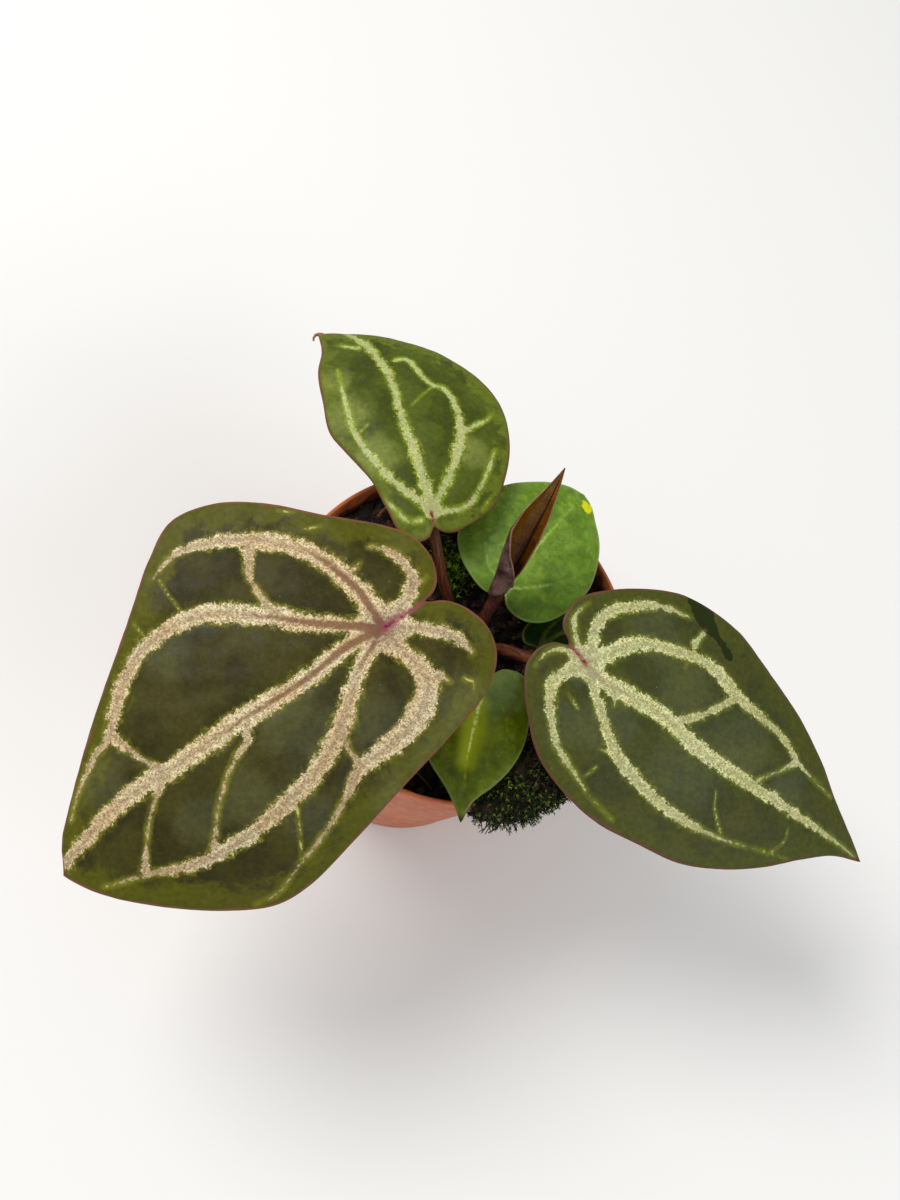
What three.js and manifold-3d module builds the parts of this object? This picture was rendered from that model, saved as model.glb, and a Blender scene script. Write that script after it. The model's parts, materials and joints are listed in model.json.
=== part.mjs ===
// A red crystallinum anthurium in an 80 mm nursery pot, in millimetres, +Z up.
// The origin is the centre of the pot's underside.
import * as THREE from "three";
import { mergeVertices } from "three/addons/utils/BufferGeometryUtils.js";
import Module from "manifold-3d";

const wasm = await Module();
wasm.setup();

// Driving dimensions of the pot and of what fills it
const RIM_RADIUS = 40;
const POT_HEIGHT = 70;
const BASE_RADIUS = 28;
const WALL = 1.1;
const FLOOR = 1.6;
const BAND_HEIGHT = 10;
const BAND_STEP = 0.8;
const DRAIN_HOLES = 8;
const DRAIN_RADIUS = 2.6;
const DRAIN_CIRCLE = 20;
const CLEARANCE = 0.35;
const SOIL_LEVEL = 58.5;
const SOIL_BANK = 7;

// Driving dimensions of the plant
const STEM_FOOT = [3, 0.4, 50];
const STEM_RADIUS = 3;
const STEM_TOP = 63.6;
const BLADE_THICKNESS = 0.7;
const RIB_DEPTH = 0.4;
const VEIN_SINK = 0.3;

// Small helpers

function seededRandom(seed) {
  let state = seed;
  return () => {
    state = (state * 1664525 + 1013904223) % 4294967296;
    return state / 4294967296;
  };
}

function vector([x, y, z]) {
  return new THREE.Vector3(x, y, z);
}

function smoothStep(value, from, to) {
  return THREE.MathUtils.smoothstep(value, from, to);
}

function indexedGeometry(vertices, triangles) {
  const geometry = new THREE.BufferGeometry();
  geometry.setAttribute("position", new THREE.Float32BufferAttribute(vertices, 3));
  geometry.setIndex(triangles);
  return geometry;
}

function solidFrom(geometry) {
  const bare = geometry.clone();
  bare.deleteAttribute("normal");
  bare.deleteAttribute("uv");
  const merged = mergeVertices(bare, 1e-4);
  return new wasm.Manifold(
    new wasm.Mesh({
      numProp: 3,
      vertProperties: new Float32Array(merged.attributes.position.array),
      triVerts: new Uint32Array(merged.index.array),
    }),
  );
}

function geometryFrom(solid) {
  const { vertProperties, triVerts } = solid.getMesh();
  return indexedGeometry(Array.from(vertProperties), Array.from(triVerts));
}

function joined(solids) {
  return solids.reduce((sum, solid) => sum.add(solid));
}

// The body that holds most of a join, without scraps that a cut leaves behind.
function largestBody(solid) {
  return solid.decompose().reduce((best, body) => (body.volume() > best.volume() ? body : best));
}

// A solid of revolution about Z from a closed [radius, height] profile
function turned(profile, segments) {
  const points = profile.map(([radius, height]) => new THREE.Vector2(radius, height));
  return new THREE.LatheGeometry(points, segments).rotateX(Math.PI / 2);
}

// A closed round stalk along a smooth path, its radius given as a function from 0 to 1
function stalk(points, radiusAt, stations, sides) {
  const path = new THREE.CatmullRomCurve3(points.map(vector), false, "centripetal");
  const frames = path.computeFrenetFrames(stations);
  const vertices = [];
  const triangles = [];
  for (let i = 0; i <= stations; i++) {
    const centre = path.getPointAt(i / stations);
    const radius = radiusAt(i / stations);
    for (let j = 0; j < sides; j++) {
      const angle = (2 * Math.PI * j) / sides;
      const spot = centre
        .clone()
        .addScaledVector(frames.normals[i], radius * Math.cos(angle))
        .addScaledVector(frames.binormals[i], radius * Math.sin(angle));
      vertices.push(...spot);
    }
  }
  for (let i = 0; i < stations; i++) {
    for (let j = 0; j < sides; j++) {
      const a = i * sides + j;
      const b = i * sides + ((j + 1) % sides);
      triangles.push(a, b, b + sides, a, b + sides, a + sides);
    }
  }
  const foot = vertices.length / 3;
  vertices.push(...path.getPointAt(0), ...path.getPointAt(1));
  for (let j = 0; j < sides; j++) {
    const next = (j + 1) % sides;
    const last = stations * sides;
    triangles.push(foot, next, j, foot + 1, last + j, last + next);
  }
  return indexedGeometry(vertices, triangles);
}

// Pot

function outerRadius(z) {
  const wallTop = RIM_RADIUS - BAND_STEP - 1;
  return BASE_RADIUS + ((wallTop - BASE_RADIUS) * z) / (POT_HEIGHT - BAND_HEIGHT);
}

function innerRadius(z) {
  const bandFoot = POT_HEIGHT - BAND_HEIGHT;
  if (z < bandFoot) return outerRadius(z) - WALL;
  const foot = outerRadius(bandFoot) - WALL;
  return foot + ((RIM_RADIUS - WALL - foot) * (z - bandFoot)) / BAND_HEIGHT;
}

function potSolid() {
  const bandFoot = POT_HEIGHT - BAND_HEIGHT;
  const body = solidFrom(
    turned(
      [
        [0, 0],
        [BASE_RADIUS - 1, 0],
        [BASE_RADIUS, 1],
        [outerRadius(bandFoot - 0.6), bandFoot - 0.6],
        [RIM_RADIUS - 1, bandFoot],
        [RIM_RADIUS, POT_HEIGHT - 1.2],
        [RIM_RADIUS, POT_HEIGHT - 0.4],
        [RIM_RADIUS - 0.4, POT_HEIGHT],
        [RIM_RADIUS - WALL + 0.3, POT_HEIGHT],
        [RIM_RADIUS - WALL, POT_HEIGHT - 0.4],
        [innerRadius(bandFoot), bandFoot],
        [innerRadius(FLOOR + 1), FLOOR + 1],
        [innerRadius(FLOOR) - 1, FLOOR],
        [0, FLOOR],
      ],
      56,
    ),
  );
  const drains = [];
  for (let i = 0; i < DRAIN_HOLES; i++) {
    const angle = (2 * Math.PI * i) / DRAIN_HOLES;
    const drain = new THREE.CylinderGeometry(DRAIN_RADIUS, DRAIN_RADIUS, 4 * FLOOR, 12);
    drain.rotateX(Math.PI / 2);
    drain.translate(DRAIN_CIRCLE * Math.cos(angle), DRAIN_CIRCLE * Math.sin(angle), 0);
    drains.push(solidFrom(drain));
  }
  return body.subtract(joined(drains));
}

// Soil: bark and peat, banked up towards the back left of the pot

function soilHeight(x, y) {
  const towardsBank = 0.8 * y - 0.6 * x;
  const bank = SOIL_BANK * smoothStep(towardsBank, 4, 36);
  const lumps = 0.5 * Math.sin(0.9 * x + 1.3) * Math.cos(0.8 * y) + 0.4 * Math.sin(1.7 * x - 1.1 * y);
  return SOIL_LEVEL + bank + lumps;
}

function soilBody() {
  const segments = 36;
  const rings = 7;
  const bottom = FLOOR + CLEARANCE;
  const vertices = [0, 0, soilHeight(0, 0)];
  const triangles = [];
  for (let i = 1; i <= rings + 1; i++) {
    for (let j = 0; j < segments; j++) {
      const angle = (2 * Math.PI * j) / segments;
      const reach = (Math.min(i, rings) / rings) * (innerRadius(SOIL_LEVEL) - CLEARANCE);
      const x = reach * Math.cos(angle);
      const y = reach * Math.sin(angle);
      if (i <= rings) {
        vertices.push(x, y, soilHeight(x, y));
      } else {
        const narrow = (innerRadius(bottom) - CLEARANCE - 1) / reach;
        vertices.push(x * narrow, y * narrow, bottom);
      }
    }
  }
  const foot = vertices.length / 3;
  vertices.push(0, 0, bottom);
  for (let j = 0; j < segments; j++) {
    const next = (j + 1) % segments;
    triangles.push(0, 1 + j, 1 + next);
    for (let i = 0; i < rings; i++) {
      const a = 1 + i * segments + j;
      const b = 1 + i * segments + next;
      triangles.push(a, a + segments, b + segments, a, b + segments, b);
    }
    triangles.push(foot, foot - segments + next, foot - segments + j);
  }
  return solidFrom(indexedGeometry(vertices, triangles));
}

// A shard of bark: a box knocked out of square, turned any way and sunk well in
function barkShard(random) {
  const size = 2.5 + 3.5 * random();
  const shard = new THREE.BoxGeometry(size, size * (0.5 + 0.4 * random()), size * 0.55);
  const corners = shard.attributes.position;
  const nudges = Array.from({ length: 8 }, () => 0.75 + 0.4 * random());
  for (let i = 0; i < corners.count; i++) {
    const corner = 4 * (corners.getX(i) > 0) + 2 * (corners.getY(i) > 0) + (corners.getZ(i) > 0);
    const nudge = nudges[corner];
    corners.setXYZ(i, corners.getX(i) * nudge, corners.getY(i) * nudge, corners.getZ(i) * nudge);
  }
  shard.rotateX(1.2 * (random() - 0.5)).rotateY(1.2 * (random() - 0.5)).rotateZ(Math.PI * random());
  const angle = 2 * Math.PI * random();
  const reach = 7 + 25 * Math.sqrt(random());
  const x = reach * Math.cos(angle);
  const y = reach * Math.sin(angle);
  shard.translate(x, y, soilHeight(x, y) + 0.2);
  return solidFrom(shard);
}

// Stem and petioles

const BLADE_SEAT = BLADE_THICKNESS + RIB_DEPTH + 0.3;

// Petiole paths rise from the soil beside the stem and end under their blades.
const PETIOLES = {
  left: {
    path: [[-1.3, -1.9, 54], [-1.8, -2.3, 63], [-5, -4.5, 75], [-12, -8.5, 88], [-19, -11.4, 95]],
    radius: 1.6,
  },
  right: {
    path: [[6.7, -2.7, 54], [7.2, -2.8, 62], [9, -3.9, 69.5], [14, -8.6, 76.5], [19.2, -11.5, 81.5]],
    radius: 1.55,
  },
  top: {
    path: [[0.5, 4.5, 54], [0, 5.2, 62], [-1.8, 7.9, 68.5], [-4.7, 11, 74.5], [-7.2, 15.4, 80.5]],
    radius: 1.4,
  },
  round: {
    path: [[6.4, 3.7, 54], [6.7, 3.9, 62], [7.4, 5.2, 70]],
    radius: 1.15,
  },
  front: {
    path: [[3.3, -4.4, 54], [3.4, -5, 62], [3.7, -8, 70]],
    radius: 1.15,
  },
  small: {
    path: [[7.9, 0.4, 54], [8.8, 0, 59.5], [11.5, -1.5, 61.2], [16, -2.2, 62]],
    radius: 0.8,
  },
};

// The petiole is thickest at its sheathing foot and swells again under the blade.
function petioleRadius(radius) {
  return (t) => {
    const foot = 0.12 * (1 - smoothStep(t, 0, 0.3));
    const swelling = 0.12 * smoothStep(t, 0.78, 0.9);
    const nose = 0.55 * smoothStep(t, 0.93, 1);
    return radius * (0.92 + foot + swelling - nose);
  };
}

function stemSolid() {
  const [x, y, foot] = STEM_FOOT;
  const stem = turned(
    [
      [0, foot],
      [STEM_RADIUS * 0.8, foot],
      [STEM_RADIUS, foot + 3],
      [STEM_RADIUS * 0.94, SOIL_LEVEL - 1],
      [STEM_RADIUS, SOIL_LEVEL],
      [STEM_RADIUS * 0.9, SOIL_LEVEL + 1],
      [STEM_RADIUS * 0.95, SOIL_LEVEL + 2.4],
      [STEM_RADIUS * 0.75, STEM_TOP - 0.6],
      [STEM_RADIUS * 0.5, STEM_TOP],
      [0, STEM_TOP],
    ],
    12,
  ).translate(x, y, 0);
  // Dry pointed sheaths left by earlier leaves stand between the petioles.
  const sheaths = [80, 164, 240].map((degrees) => {
    const angle = THREE.MathUtils.degToRad(degrees);
    const out = new THREE.Vector3(Math.cos(angle), Math.sin(angle), 0);
    const at = (reach, z) => [x + reach * out.x, y + reach * out.y, z];
    return solidFrom(
      stalk([at(1.2, 56), at(2.6, 60), at(4, 65.5)], (t) => 1.3 * (1 - 0.92 * t * t), 4, 5),
    );
  });
  return solidFrom(stem).add(joined(sheaths));
}

// Blades
// A blade lies on its own axes: u runs from the petiole to the tip, v to the left of
// that, both in mm. Edges are [u, v] points from the notch at the petiole to the tip.

const BLADES = {
  left: {
    petiole: [-24, -13.5, 102],
    tip: [-82, -55, 70],
    roll: -4,
    bow: 7,
    arch: [0.012, 0.003],
    wave: [0.7, 7],
    rings: 12,
    steps: 64,
    leftEdge: [
      [-8.5, 0.7], [-12, 2], [-14.8, 5], [-16.5, 10.5], [-15, 16.5], [-9, 21.5], [2, 24.3],
      [14, 26.5], [30.5, 29.5], [42, 31], [49.5, 30], [58, 24.5], [69, 14], [75, 6.5], [78, 0.8],
    ],
    rightEdge: [
      [-12.5, -0.6], [-14.5, -2.5], [-16, -6.5], [-15.5, -12], [-12.5, -17], [-4, -25.5], [4.5, -35],
      [12, -40.5], [20.5, -42.5], [28, -38.5], [37.5, -31], [51, -22], [66, -11], [74, -4.5], [78, 0.8],
    ],
    veins: [
      [[0, 0], [18.5, -0.5], [45.5, -2], [77, 0]],
      [[0, 0], [10.5, -9], [21.5, -19.5], [30.5, -24], [40, -24], [54.5, -14.5], [70, -6.5]],
      [[0, 0], [-0.5, -9.5], [2.5, -20.5], [9.5, -29], [24, -36], [30, -34.5]],
      [[0, 0], [-9, -3], [-11, -6.5], [-9.5, -13], [-7.5, -15]],
      [[-2, 1], [-8.5, 7], [-11, 14]],
      [[0, 0], [0, 4], [-1, 12], [8, 18.5], [19.5, 19], [33.5, 25], [48, 28.5]],
      [[0, 0], [8.5, 4], [24.5, 14], [43.5, 16.5], [63.5, 11], [72.5, 7.5]],
      [[32, 2], [45.5, 9.5], [50.5, 14.5]],
    ],
  },
  right: {
    petiole: [22.5, -13.5, 88],
    tip: [93, -50, 66],
    roll: 10,
    bow: 4,
    arch: [0.005, 0.005],
    wave: [0.5, 6],
    rings: 11,
    steps: 58,
    leftEdge: [
      [-5.5, 2.9], [-7.2, 4], [-8.5, 6.5], [-7.5, 12], [-2, 18], [3.5, 22], [12.5, 26.5], [22, 27.8],
      [30, 27.2], [39.5, 23.5], [51, 18.5], [61, 12.5], [71, 5.8], [78, 2.2], [82.4, 0],
    ],
    rightEdge: [
      [-4.5, 1.3], [-8, 0.2], [-10, -2.5], [-10.5, -6], [-8.5, -11.5], [-5, -16], [2, -22], [10.5, -25.5],
      [19.5, -27], [30.5, -26], [40.5, -24.5], [49, -21], [58, -15.5], [66.5, -8.5], [74, -3.2], [82.4, 0],
    ],
    veins: [
      [[0, 0], [14, -0.5], [31, -2], [48.5, -1.5], [81, 0]],
      [[0.5, 1], [8.5, 10.5], [15, 13.5], [25, 16], [34.5, 13.5], [47.5, 12], [66.5, 7.5]],
      [[0, 2], [-1.5, 9], [-0.5, 13], [8, 20.5], [16.5, 23]],
      [[34.5, 13.5], [28.5, 5.5], [24.5, 1]],
      [[1, -0.5], [8, -7], [15.5, -13], [26.5, -16], [37.5, -16.5], [57, -12]],
      [[0, -1], [-3, -6.5], [-0.5, -14], [6, -19], [12, -20.5], [21.5, -25]],
    ],
  },
  top: {
    petiole: [-9.5, 21, 87],
    tip: [-32, 70.5, 76],
    roll: -8,
    bow: 5,
    arch: [0.014, 0.006],
    wave: [0.5, 5],
    rings: 10,
    steps: 50,
    leftEdge: [
      [-3.5, 1.7], [-5, 3.5], [-4.5, 6], [-1, 8.5], [4, 8.6], [11.5, 8.7], [18.5, 10.2], [26.5, 11.5],
      [34, 9.4], [42.5, 6.6], [49, 2.6], [55.5, 0.5],
    ],
    rightEdge: [
      [-4, 0.6], [-6, -2.5], [-6, -6], [-4, -13], [1, -19], [8, -24], [17.5, -27], [26.5, -26],
      [36.5, -21.5], [44, -15], [50.5, -7.5], [55.5, 0.5],
    ],
    veins: [
      [[0, 0], [12, -2.5], [21, -4], [37, -7.5], [48, -6.5], [52, -4]],
      [[0, 0], [6.5, -8.5], [15.5, -15.5], [25.5, -17], [37.5, -13]],
      [[-0.5, 0.5], [-2, -7], [1, -13], [7.5, -20]],
      [[0.5, 0.5], [10, 5], [22.5, 7], [32, 5], [41, 2.5]],
    ],
  },
  round: {
    petiole: [9.5, 7.5, 78],
    tip: [30.5, 32, 80],
    roll: 0,
    bow: 2,
    arch: [0.004, 0.004],
    wave: [0.3, 4],
    rings: 7,
    steps: 38,
    leftEdge: [
      [-1.6, 0.6], [-3.4, 3], [-3, 8], [-0.5, 13.5], [3.5, 17], [8, 18.2], [14, 17.8], [19, 16],
      [23.5, 12.4], [27.5, 8], [29.5, 4.5], [30.3, 1],
    ],
    rightEdge: [
      [-1.6, -0.6], [-3.2, -2.5], [-3, -7.5], [-0.5, -11], [4, -13.2], [9, -14], [14, -13.5],
      [22, -9.6], [26.5, -5], [29.2, -1.8], [30.3, 1],
    ],
    veins: [[[0, 0], [14.5, 1], [29, 1]]],
  },
  front: {
    petiole: [4, -14.5, 78],
    tip: [-2.5, -44.5, 73],
    roll: 0,
    bow: 3,
    arch: [0.008, 0.008],
    wave: [0.3, 3],
    rings: 7,
    steps: 36,
    leftEdge: [
      [-1.8, 0.8], [-3.5, 3], [-3.5, 7], [-1, 9], [3, 9.9], [10.5, 10], [15, 9], [18.5, 7.5],
      [22.5, 4.8], [26.5, 1.4], [31, 0],
    ],
    rightEdge: [
      [-1.8, -0.8], [-3.5, -3], [-3, -7], [0.5, -10], [6, -11.8], [12, -12.3], [17, -11.3],
      [20.5, -9.2], [25.5, -4.2], [28.5, -1.8], [31, 0],
    ],
    veins: [[[0, 0], [10, -1.5], [20, -1.8], [31, 0]]],
  },
  small: {
    petiole: [20, -1, 66],
    tip: [36.5, 8.5, 67],
    roll: 0,
    bow: 1,
    arch: [0.01, 0.01],
    wave: [0.2, 3],
    rings: 5,
    steps: 24,
    leftEdge: [[-1.2, 0.5], [-2.6, 2.4], [-1.5, 4.8], [2.2, 6.2], [7, 5.8], [12, 3.8], [15.5, 1.6], [17.8, 0]],
    rightEdge: [[-1.2, -0.5], [-2.4, -2.4], [-1, -4.5], [2.6, -5.8], [7, -5.4], [12, -3.5], [15.5, -1.4], [17.8, 0]],
    veins: [[[0, 0], [17, 0]]],
  },
};

function bladeAxes(blade) {
  const origin = vector(blade.petiole);
  const along = vector(blade.tip).sub(origin);
  const length = along.length();
  along.normalize();
  const level = new THREE.Vector3(0, 0, 1).cross(along).normalize();
  const roll = THREE.MathUtils.degToRad(blade.roll);
  const across = level.applyAxisAngle(along, roll);
  const face = new THREE.Vector3().crossVectors(along, across);
  return { origin, along, across, face, length };
}

// The blade bows along its midrib and arches down on both sides of it.
function bladeHeight(blade, length, u, v) {
  const t = u / length;
  const arch = v > 0 ? blade.arch[0] : blade.arch[1];
  return 4 * blade.bow * t * (1 - t) - arch * v * v;
}

function distanceToVeins(veins, u, v) {
  let nearest = Infinity;
  for (const vein of veins) {
    for (let i = 1; i < vein.length; i++) {
      const [u0, v0] = vein[i - 1];
      const [u1, v1] = vein[i];
      const span = (u1 - u0) ** 2 + (v1 - v0) ** 2;
      const t = THREE.MathUtils.clamp(((u - u0) * (u1 - u0) + (v - v0) * (v1 - v0)) / span, 0, 1);
      nearest = Math.min(nearest, Math.hypot(u - u0 - t * (u1 - u0), v - v0 - t * (v1 - v0)));
    }
  }
  return nearest;
}

// Points evenly spaced round the edge, from the left of the notch by the tip to its right
function edgePoints(blade) {
  const side = (edge, steps) => {
    const points = edge.map(([u, v]) => new THREE.Vector3(u, v, 0));
    return new THREE.CatmullRomCurve3(points, false, "centripetal").getSpacedPoints(steps);
  };
  const left = side(blade.leftEdge, blade.steps / 2);
  const right = side(blade.rightEdge, blade.steps / 2);
  return [...left, ...right.reverse().slice(1)];
}

// The place of ring i, step fraction t, between the petiole and the edge
function ringPoint(edge, fraction, t) {
  const spot = t * (edge.length - 1);
  const before = Math.min(Math.floor(spot), edge.length - 2);
  return edge[before].clone().lerp(edge[before + 1], spot - before).multiplyScalar(fraction);
}

// Two neighbouring rings, of different step counts, zipped together with triangles
function zipRings(inner, outer, triangles) {
  let i = 0;
  let j = 0;
  while (i < inner.length - 1 || j < outer.length - 1) {
    const innerNext = (i + 1) / (inner.length - 1);
    const outerNext = (j + 1) / (outer.length - 1);
    if (j < outer.length - 1 && outerNext <= innerNext + 1e-9) {
      triangles.push([inner[i], outer[j + 1], outer[j]]);
      j++;
    } else {
      triangles.push([inner[i], inner[i + 1], outer[j]]);
      i++;
    }
  }
}

function bladeGeometry(blade) {
  const { origin, along, across, face, length } = bladeAxes(blade);
  const edge = edgePoints(blade);
  const upper = [];
  const lower = [];
  const addPoint = ({ x: u, y: v }, fraction) => {
    const angle = Math.atan2(v, u);
    const [waveHeight, waveCount] = blade.wave;
    const wave = waveHeight * fraction ** 3 * Math.sin(waveCount * angle + 1);
    const rib = Math.exp(-((distanceToVeins(blade.veins, u, v) / 1.6) ** 2));
    const height = bladeHeight(blade, length, u, v);
    const slopeU = bladeHeight(blade, length, u + 0.5, v) - bladeHeight(blade, length, u - 0.5, v);
    const slopeV = bladeHeight(blade, length, u, v + 0.5) - bladeHeight(blade, length, u, v - 0.5);
    const normal = face.clone().addScaledVector(along, -slopeU).addScaledVector(across, -slopeV);
    normal.normalize();
    const spot = origin
      .clone()
      .addScaledVector(along, u)
      .addScaledVector(across, v)
      .addScaledVector(face, height + wave - VEIN_SINK * rib);
    upper.push(spot);
    lower.push(spot.clone().addScaledVector(normal, -BLADE_THICKNESS - RIB_DEPTH * rib));
    return upper.length - 1;
  };

  const middle = addPoint(new THREE.Vector3(), 0);
  const rings = [];
  for (let i = 1; i <= blade.rings; i++) {
    const fraction = i / blade.rings;
    const steps = Math.max(6, 2 * Math.round((blade.steps * fraction) / 2));
    const ring = [];
    for (let j = 0; j <= steps; j++) ring.push(addPoint(ringPoint(edge, fraction, j / steps), fraction));
    rings.push(ring);
  }

  const faces = [];
  for (let j = 0; j < rings[0].length - 1; j++) faces.push([middle, rings[0][j + 1], rings[0][j]]);
  for (let i = 0; i < rings.length - 1; i++) zipRings(rings[i], rings[i + 1], faces);

  // The rim of the sheet, anticlockwise seen from above: round the edge and both notch sides
  const notchLeft = rings.slice(0, -1).map((ring) => ring[0]);
  const notchRight = rings.slice(0, -1).map((ring) => ring.at(-1));
  const outline = [...rings.at(-1)].reverse().concat(notchLeft.reverse(), middle, notchRight);

  const under = upper.length;
  const triangles = [];
  for (const [a, b, c] of faces) triangles.push(a, b, c, a + under, c + under, b + under);
  outline.forEach((p, i) => {
    const q = outline[(i + 1) % outline.length];
    triangles.push(p + under, q + under, q, p + under, q, p);
  });
  const vertices = [...upper, ...lower].flatMap((spot) => [...spot]);
  return indexedGeometry(vertices, triangles);
}

function petioleGeometry(name) {
  const { path, radius } = PETIOLES[name];
  const blade = BLADES[name];
  const { origin, along, face, length } = bladeAxes(blade);
  const up = face.addScaledVector(along, (-4 * blade.bow) / length).normalize();
  const nose = origin.clone().addScaledVector(up, -BLADE_SEAT - 0.1);
  const knee = nose.clone().addScaledVector(up, -2 * radius);
  return stalk([...path, [...knee], [...nose]], petioleRadius(radius), 12, 7);
}

// The newest leaf, half unrolled: a strip across its midrib, rolled in on the left

const NEW_LEAF = {
  midrib: [[7.8, 7.1, 84.6], [9, 9.6, 90], [11, 14, 96.5], [13.2, 19, 101.5], [15.1, 23.6, 105]],
  petiole: [[3, 0.4, STEM_TOP + 0.35], [3.5, 0.6, 68.5], [4.6, 1.4, 73.2], [6, 4.3, 78.8], [7.5, 6.4, 83.4]],
  petioleRadius: 1.6,
  leftWidth: 8,
  rightWidth: 3.6,
  leftCurl: 3.9,
  rightCurl: 0.8,
  lobeReach: [4.5, 0.5],
  facing: [-0.35, -0.3, 0.89],
};

function newLeafGeometry() {
  const leaf = NEW_LEAF;
  const stations = 16;
  const columns = 14;
  const path = new THREE.CatmullRomCurve3(leaf.midrib.map(vector), false, "centripetal");
  const upper = [];
  const lower = [];
  for (let i = 0; i <= stations; i++) {
    const t = i / stations;
    const centre = path.getPointAt(t);
    const along = path.getTangentAt(t);
    const side = along.clone().cross(vector(leaf.facing)).normalize();
    const face = side.clone().cross(along);
    const leftFullness = 0.04 + 0.96 * (1 - t) ** 1.25 * (1 + 1.6 * t);
    const rightFullness = 0.06 + 3.5 * (t + 0.01) ** 0.6 * (1 - t) ** 1.6;
    for (let j = 0; j <= columns; j++) {
      const c = (2 * j) / columns - 1;
      const left = c < 0;
      const width = left ? leaf.leftWidth : leaf.rightWidth;
      const radius = width / (left ? leaf.leftCurl : leaf.rightCurl);
      const reach = Math.abs(c) * width * (left ? leftFullness : rightFullness);
      const turn = reach / radius;
      const lobe = leaf.lobeReach[left ? 0 : 1] * Math.abs(c) ** 1.6 * (1 - t) ** 4;
      const rolled = (offset) =>
        centre
          .clone()
          .addScaledVector(side, Math.sign(c) * (radius - offset) * Math.sin(turn))
          .addScaledVector(face, radius - (radius - offset) * Math.cos(turn))
          .addScaledVector(along, -lobe);
      upper.push(rolled(0));
      lower.push(rolled(-BLADE_THICKNESS));
    }
  }
  const across = columns + 1;
  const under = upper.length;
  const triangles = [];
  for (let i = 0; i < stations; i++) {
    for (let j = 0; j < columns; j++) {
      const a = i * across + j;
      const b = a + 1;
      const c = a + across;
      const d = c + 1;
      triangles.push(a, b, d, a, d, c);
      triangles.push(a + under, d + under, b + under, a + under, c + under, d + under);
    }
  }
  const foot = Array.from({ length: columns }, (_, j) => j);
  const right = Array.from({ length: stations }, (_, i) => i * across + columns);
  const head = Array.from({ length: columns }, (_, j) => (stations + 1) * across - 1 - j);
  const left = Array.from({ length: stations }, (_, i) => (stations - i) * across);
  const outline = [...foot, ...right, ...head, ...left];
  outline.forEach((p, i) => {
    const q = outline[(i + 1) % outline.length];
    triangles.push(p + under, q + under, q, p + under, q, p);
  });
  const vertices = [...upper, ...lower].flatMap((spot) => [...spot]);
  return indexedGeometry(vertices, triangles);
}

function newPetioleGeometry() {
  return stalk(NEW_LEAF.petiole, (t) => NEW_LEAF.petioleRadius * (1 - 0.18 * t), 10, 7);
}

// Moss: a cushion that laps over the front right of the rim, and bright shoots at the back

const MOSS = { azimuth: -71, reach: 33.4, level: 66, radii: [10.5, 14, 9] };

function mossPoint(across, along, up) {
  const angle = THREE.MathUtils.degToRad(MOSS.azimuth);
  const outward = new THREE.Vector3(Math.cos(angle), Math.sin(angle), 0);
  const sideways = new THREE.Vector3(-Math.sin(angle), Math.cos(angle), 0);
  return outward
    .clone()
    .multiplyScalar(MOSS.reach + across)
    .addScaledVector(sideways, along)
    .setZ(MOSS.level + up);
}

function mossMound(growth, bumps) {
  const ball = new THREE.SphereGeometry(1, 22, 12);
  const spots = ball.attributes.position;
  for (let i = 0; i < spots.count; i++) {
    const [x, y, z] = [spots.getX(i), spots.getY(i), spots.getZ(i)];
    const bump = 1 + bumps * Math.sin(9 * x + 2) * Math.sin(8 * y + 1) * Math.cos(9 * z);
    const [rx, ry, rz] = MOSS.radii.map((radius) => (radius + growth) * bump);
    const spot = mossPoint(rx * x, ry * y, rz * z);
    spots.setXYZ(i, spot.x, spot.y, spot.z);
  }
  return solidFrom(ball);
}

function tuft(foot, lean, length, width) {
  const tip = foot.clone().addScaledVector(lean, length);
  return solidFrom(stalk([[...foot], [...tip]], (t) => width * (1 - 0.85 * t), 1, 3));
}

function mossSolid(wall, seat) {
  const random = seededRandom(11);
  let moss = mossMound(0, 0.07);
  const tufts = [];
  for (let i = 0; i < 26; i++) {
    const angle = 2 * Math.PI * random();
    const lift = 0.15 + 0.8 * random();
    const flat = Math.sqrt(1 - lift * lift);
    const [x, y, z] = [flat * Math.cos(angle), flat * Math.sin(angle), lift];
    const [rx, ry, rz] = MOSS.radii.map((radius) => radius - 1);
    const foot = mossPoint(rx * x, ry * y, rz * z);
    const lean = mossPoint(2 * rx * x, 2 * ry * y, 2 * rz * z).sub(foot).normalize();
    tufts.push(tuft(foot, lean, 2.6 + 0.8 * random(), 0.9));
  }
  moss = moss.add(joined(tufts));
  // Dark threads hang from the edge that laps over the rim.
  const threads = [-7, -4.5, 0.5, 3, 6, 9].map((along, i) => {
    const root = mossPoint(6.2, along, 0);
    const drop = 6 + 3 * random() + (i === 3 ? 2 : 0);
    const bend = mossPoint(9.6, along + 0.6, -0.4 * drop);
    const tip = mossPoint(9.6, along + 1.2 * random(), -drop);
    return solidFrom(stalk([[...root], [...bend], [...tip]], (t) => 0.7 - 0.4 * t, 3, 3));
  });
  moss = moss.add(joined(threads));
  return largestBody(moss.subtract(wall).subtract(seat));
}

const SHOOTS = { centre: [1.5, 19.5], radius: 3.2 };

function shootsPad() {
  const { centre, radius } = SHOOTS;
  const top = soilHeight(...centre) + 0.9;
  const profile = [
    [0, top - 3],
    [radius * 0.8, top - 3],
    [radius, top - 0.8],
    [radius * 0.6, top],
    [0, top + 0.2],
  ];
  return solidFrom(turned(profile, 12).translate(...centre, 0));
}

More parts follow.
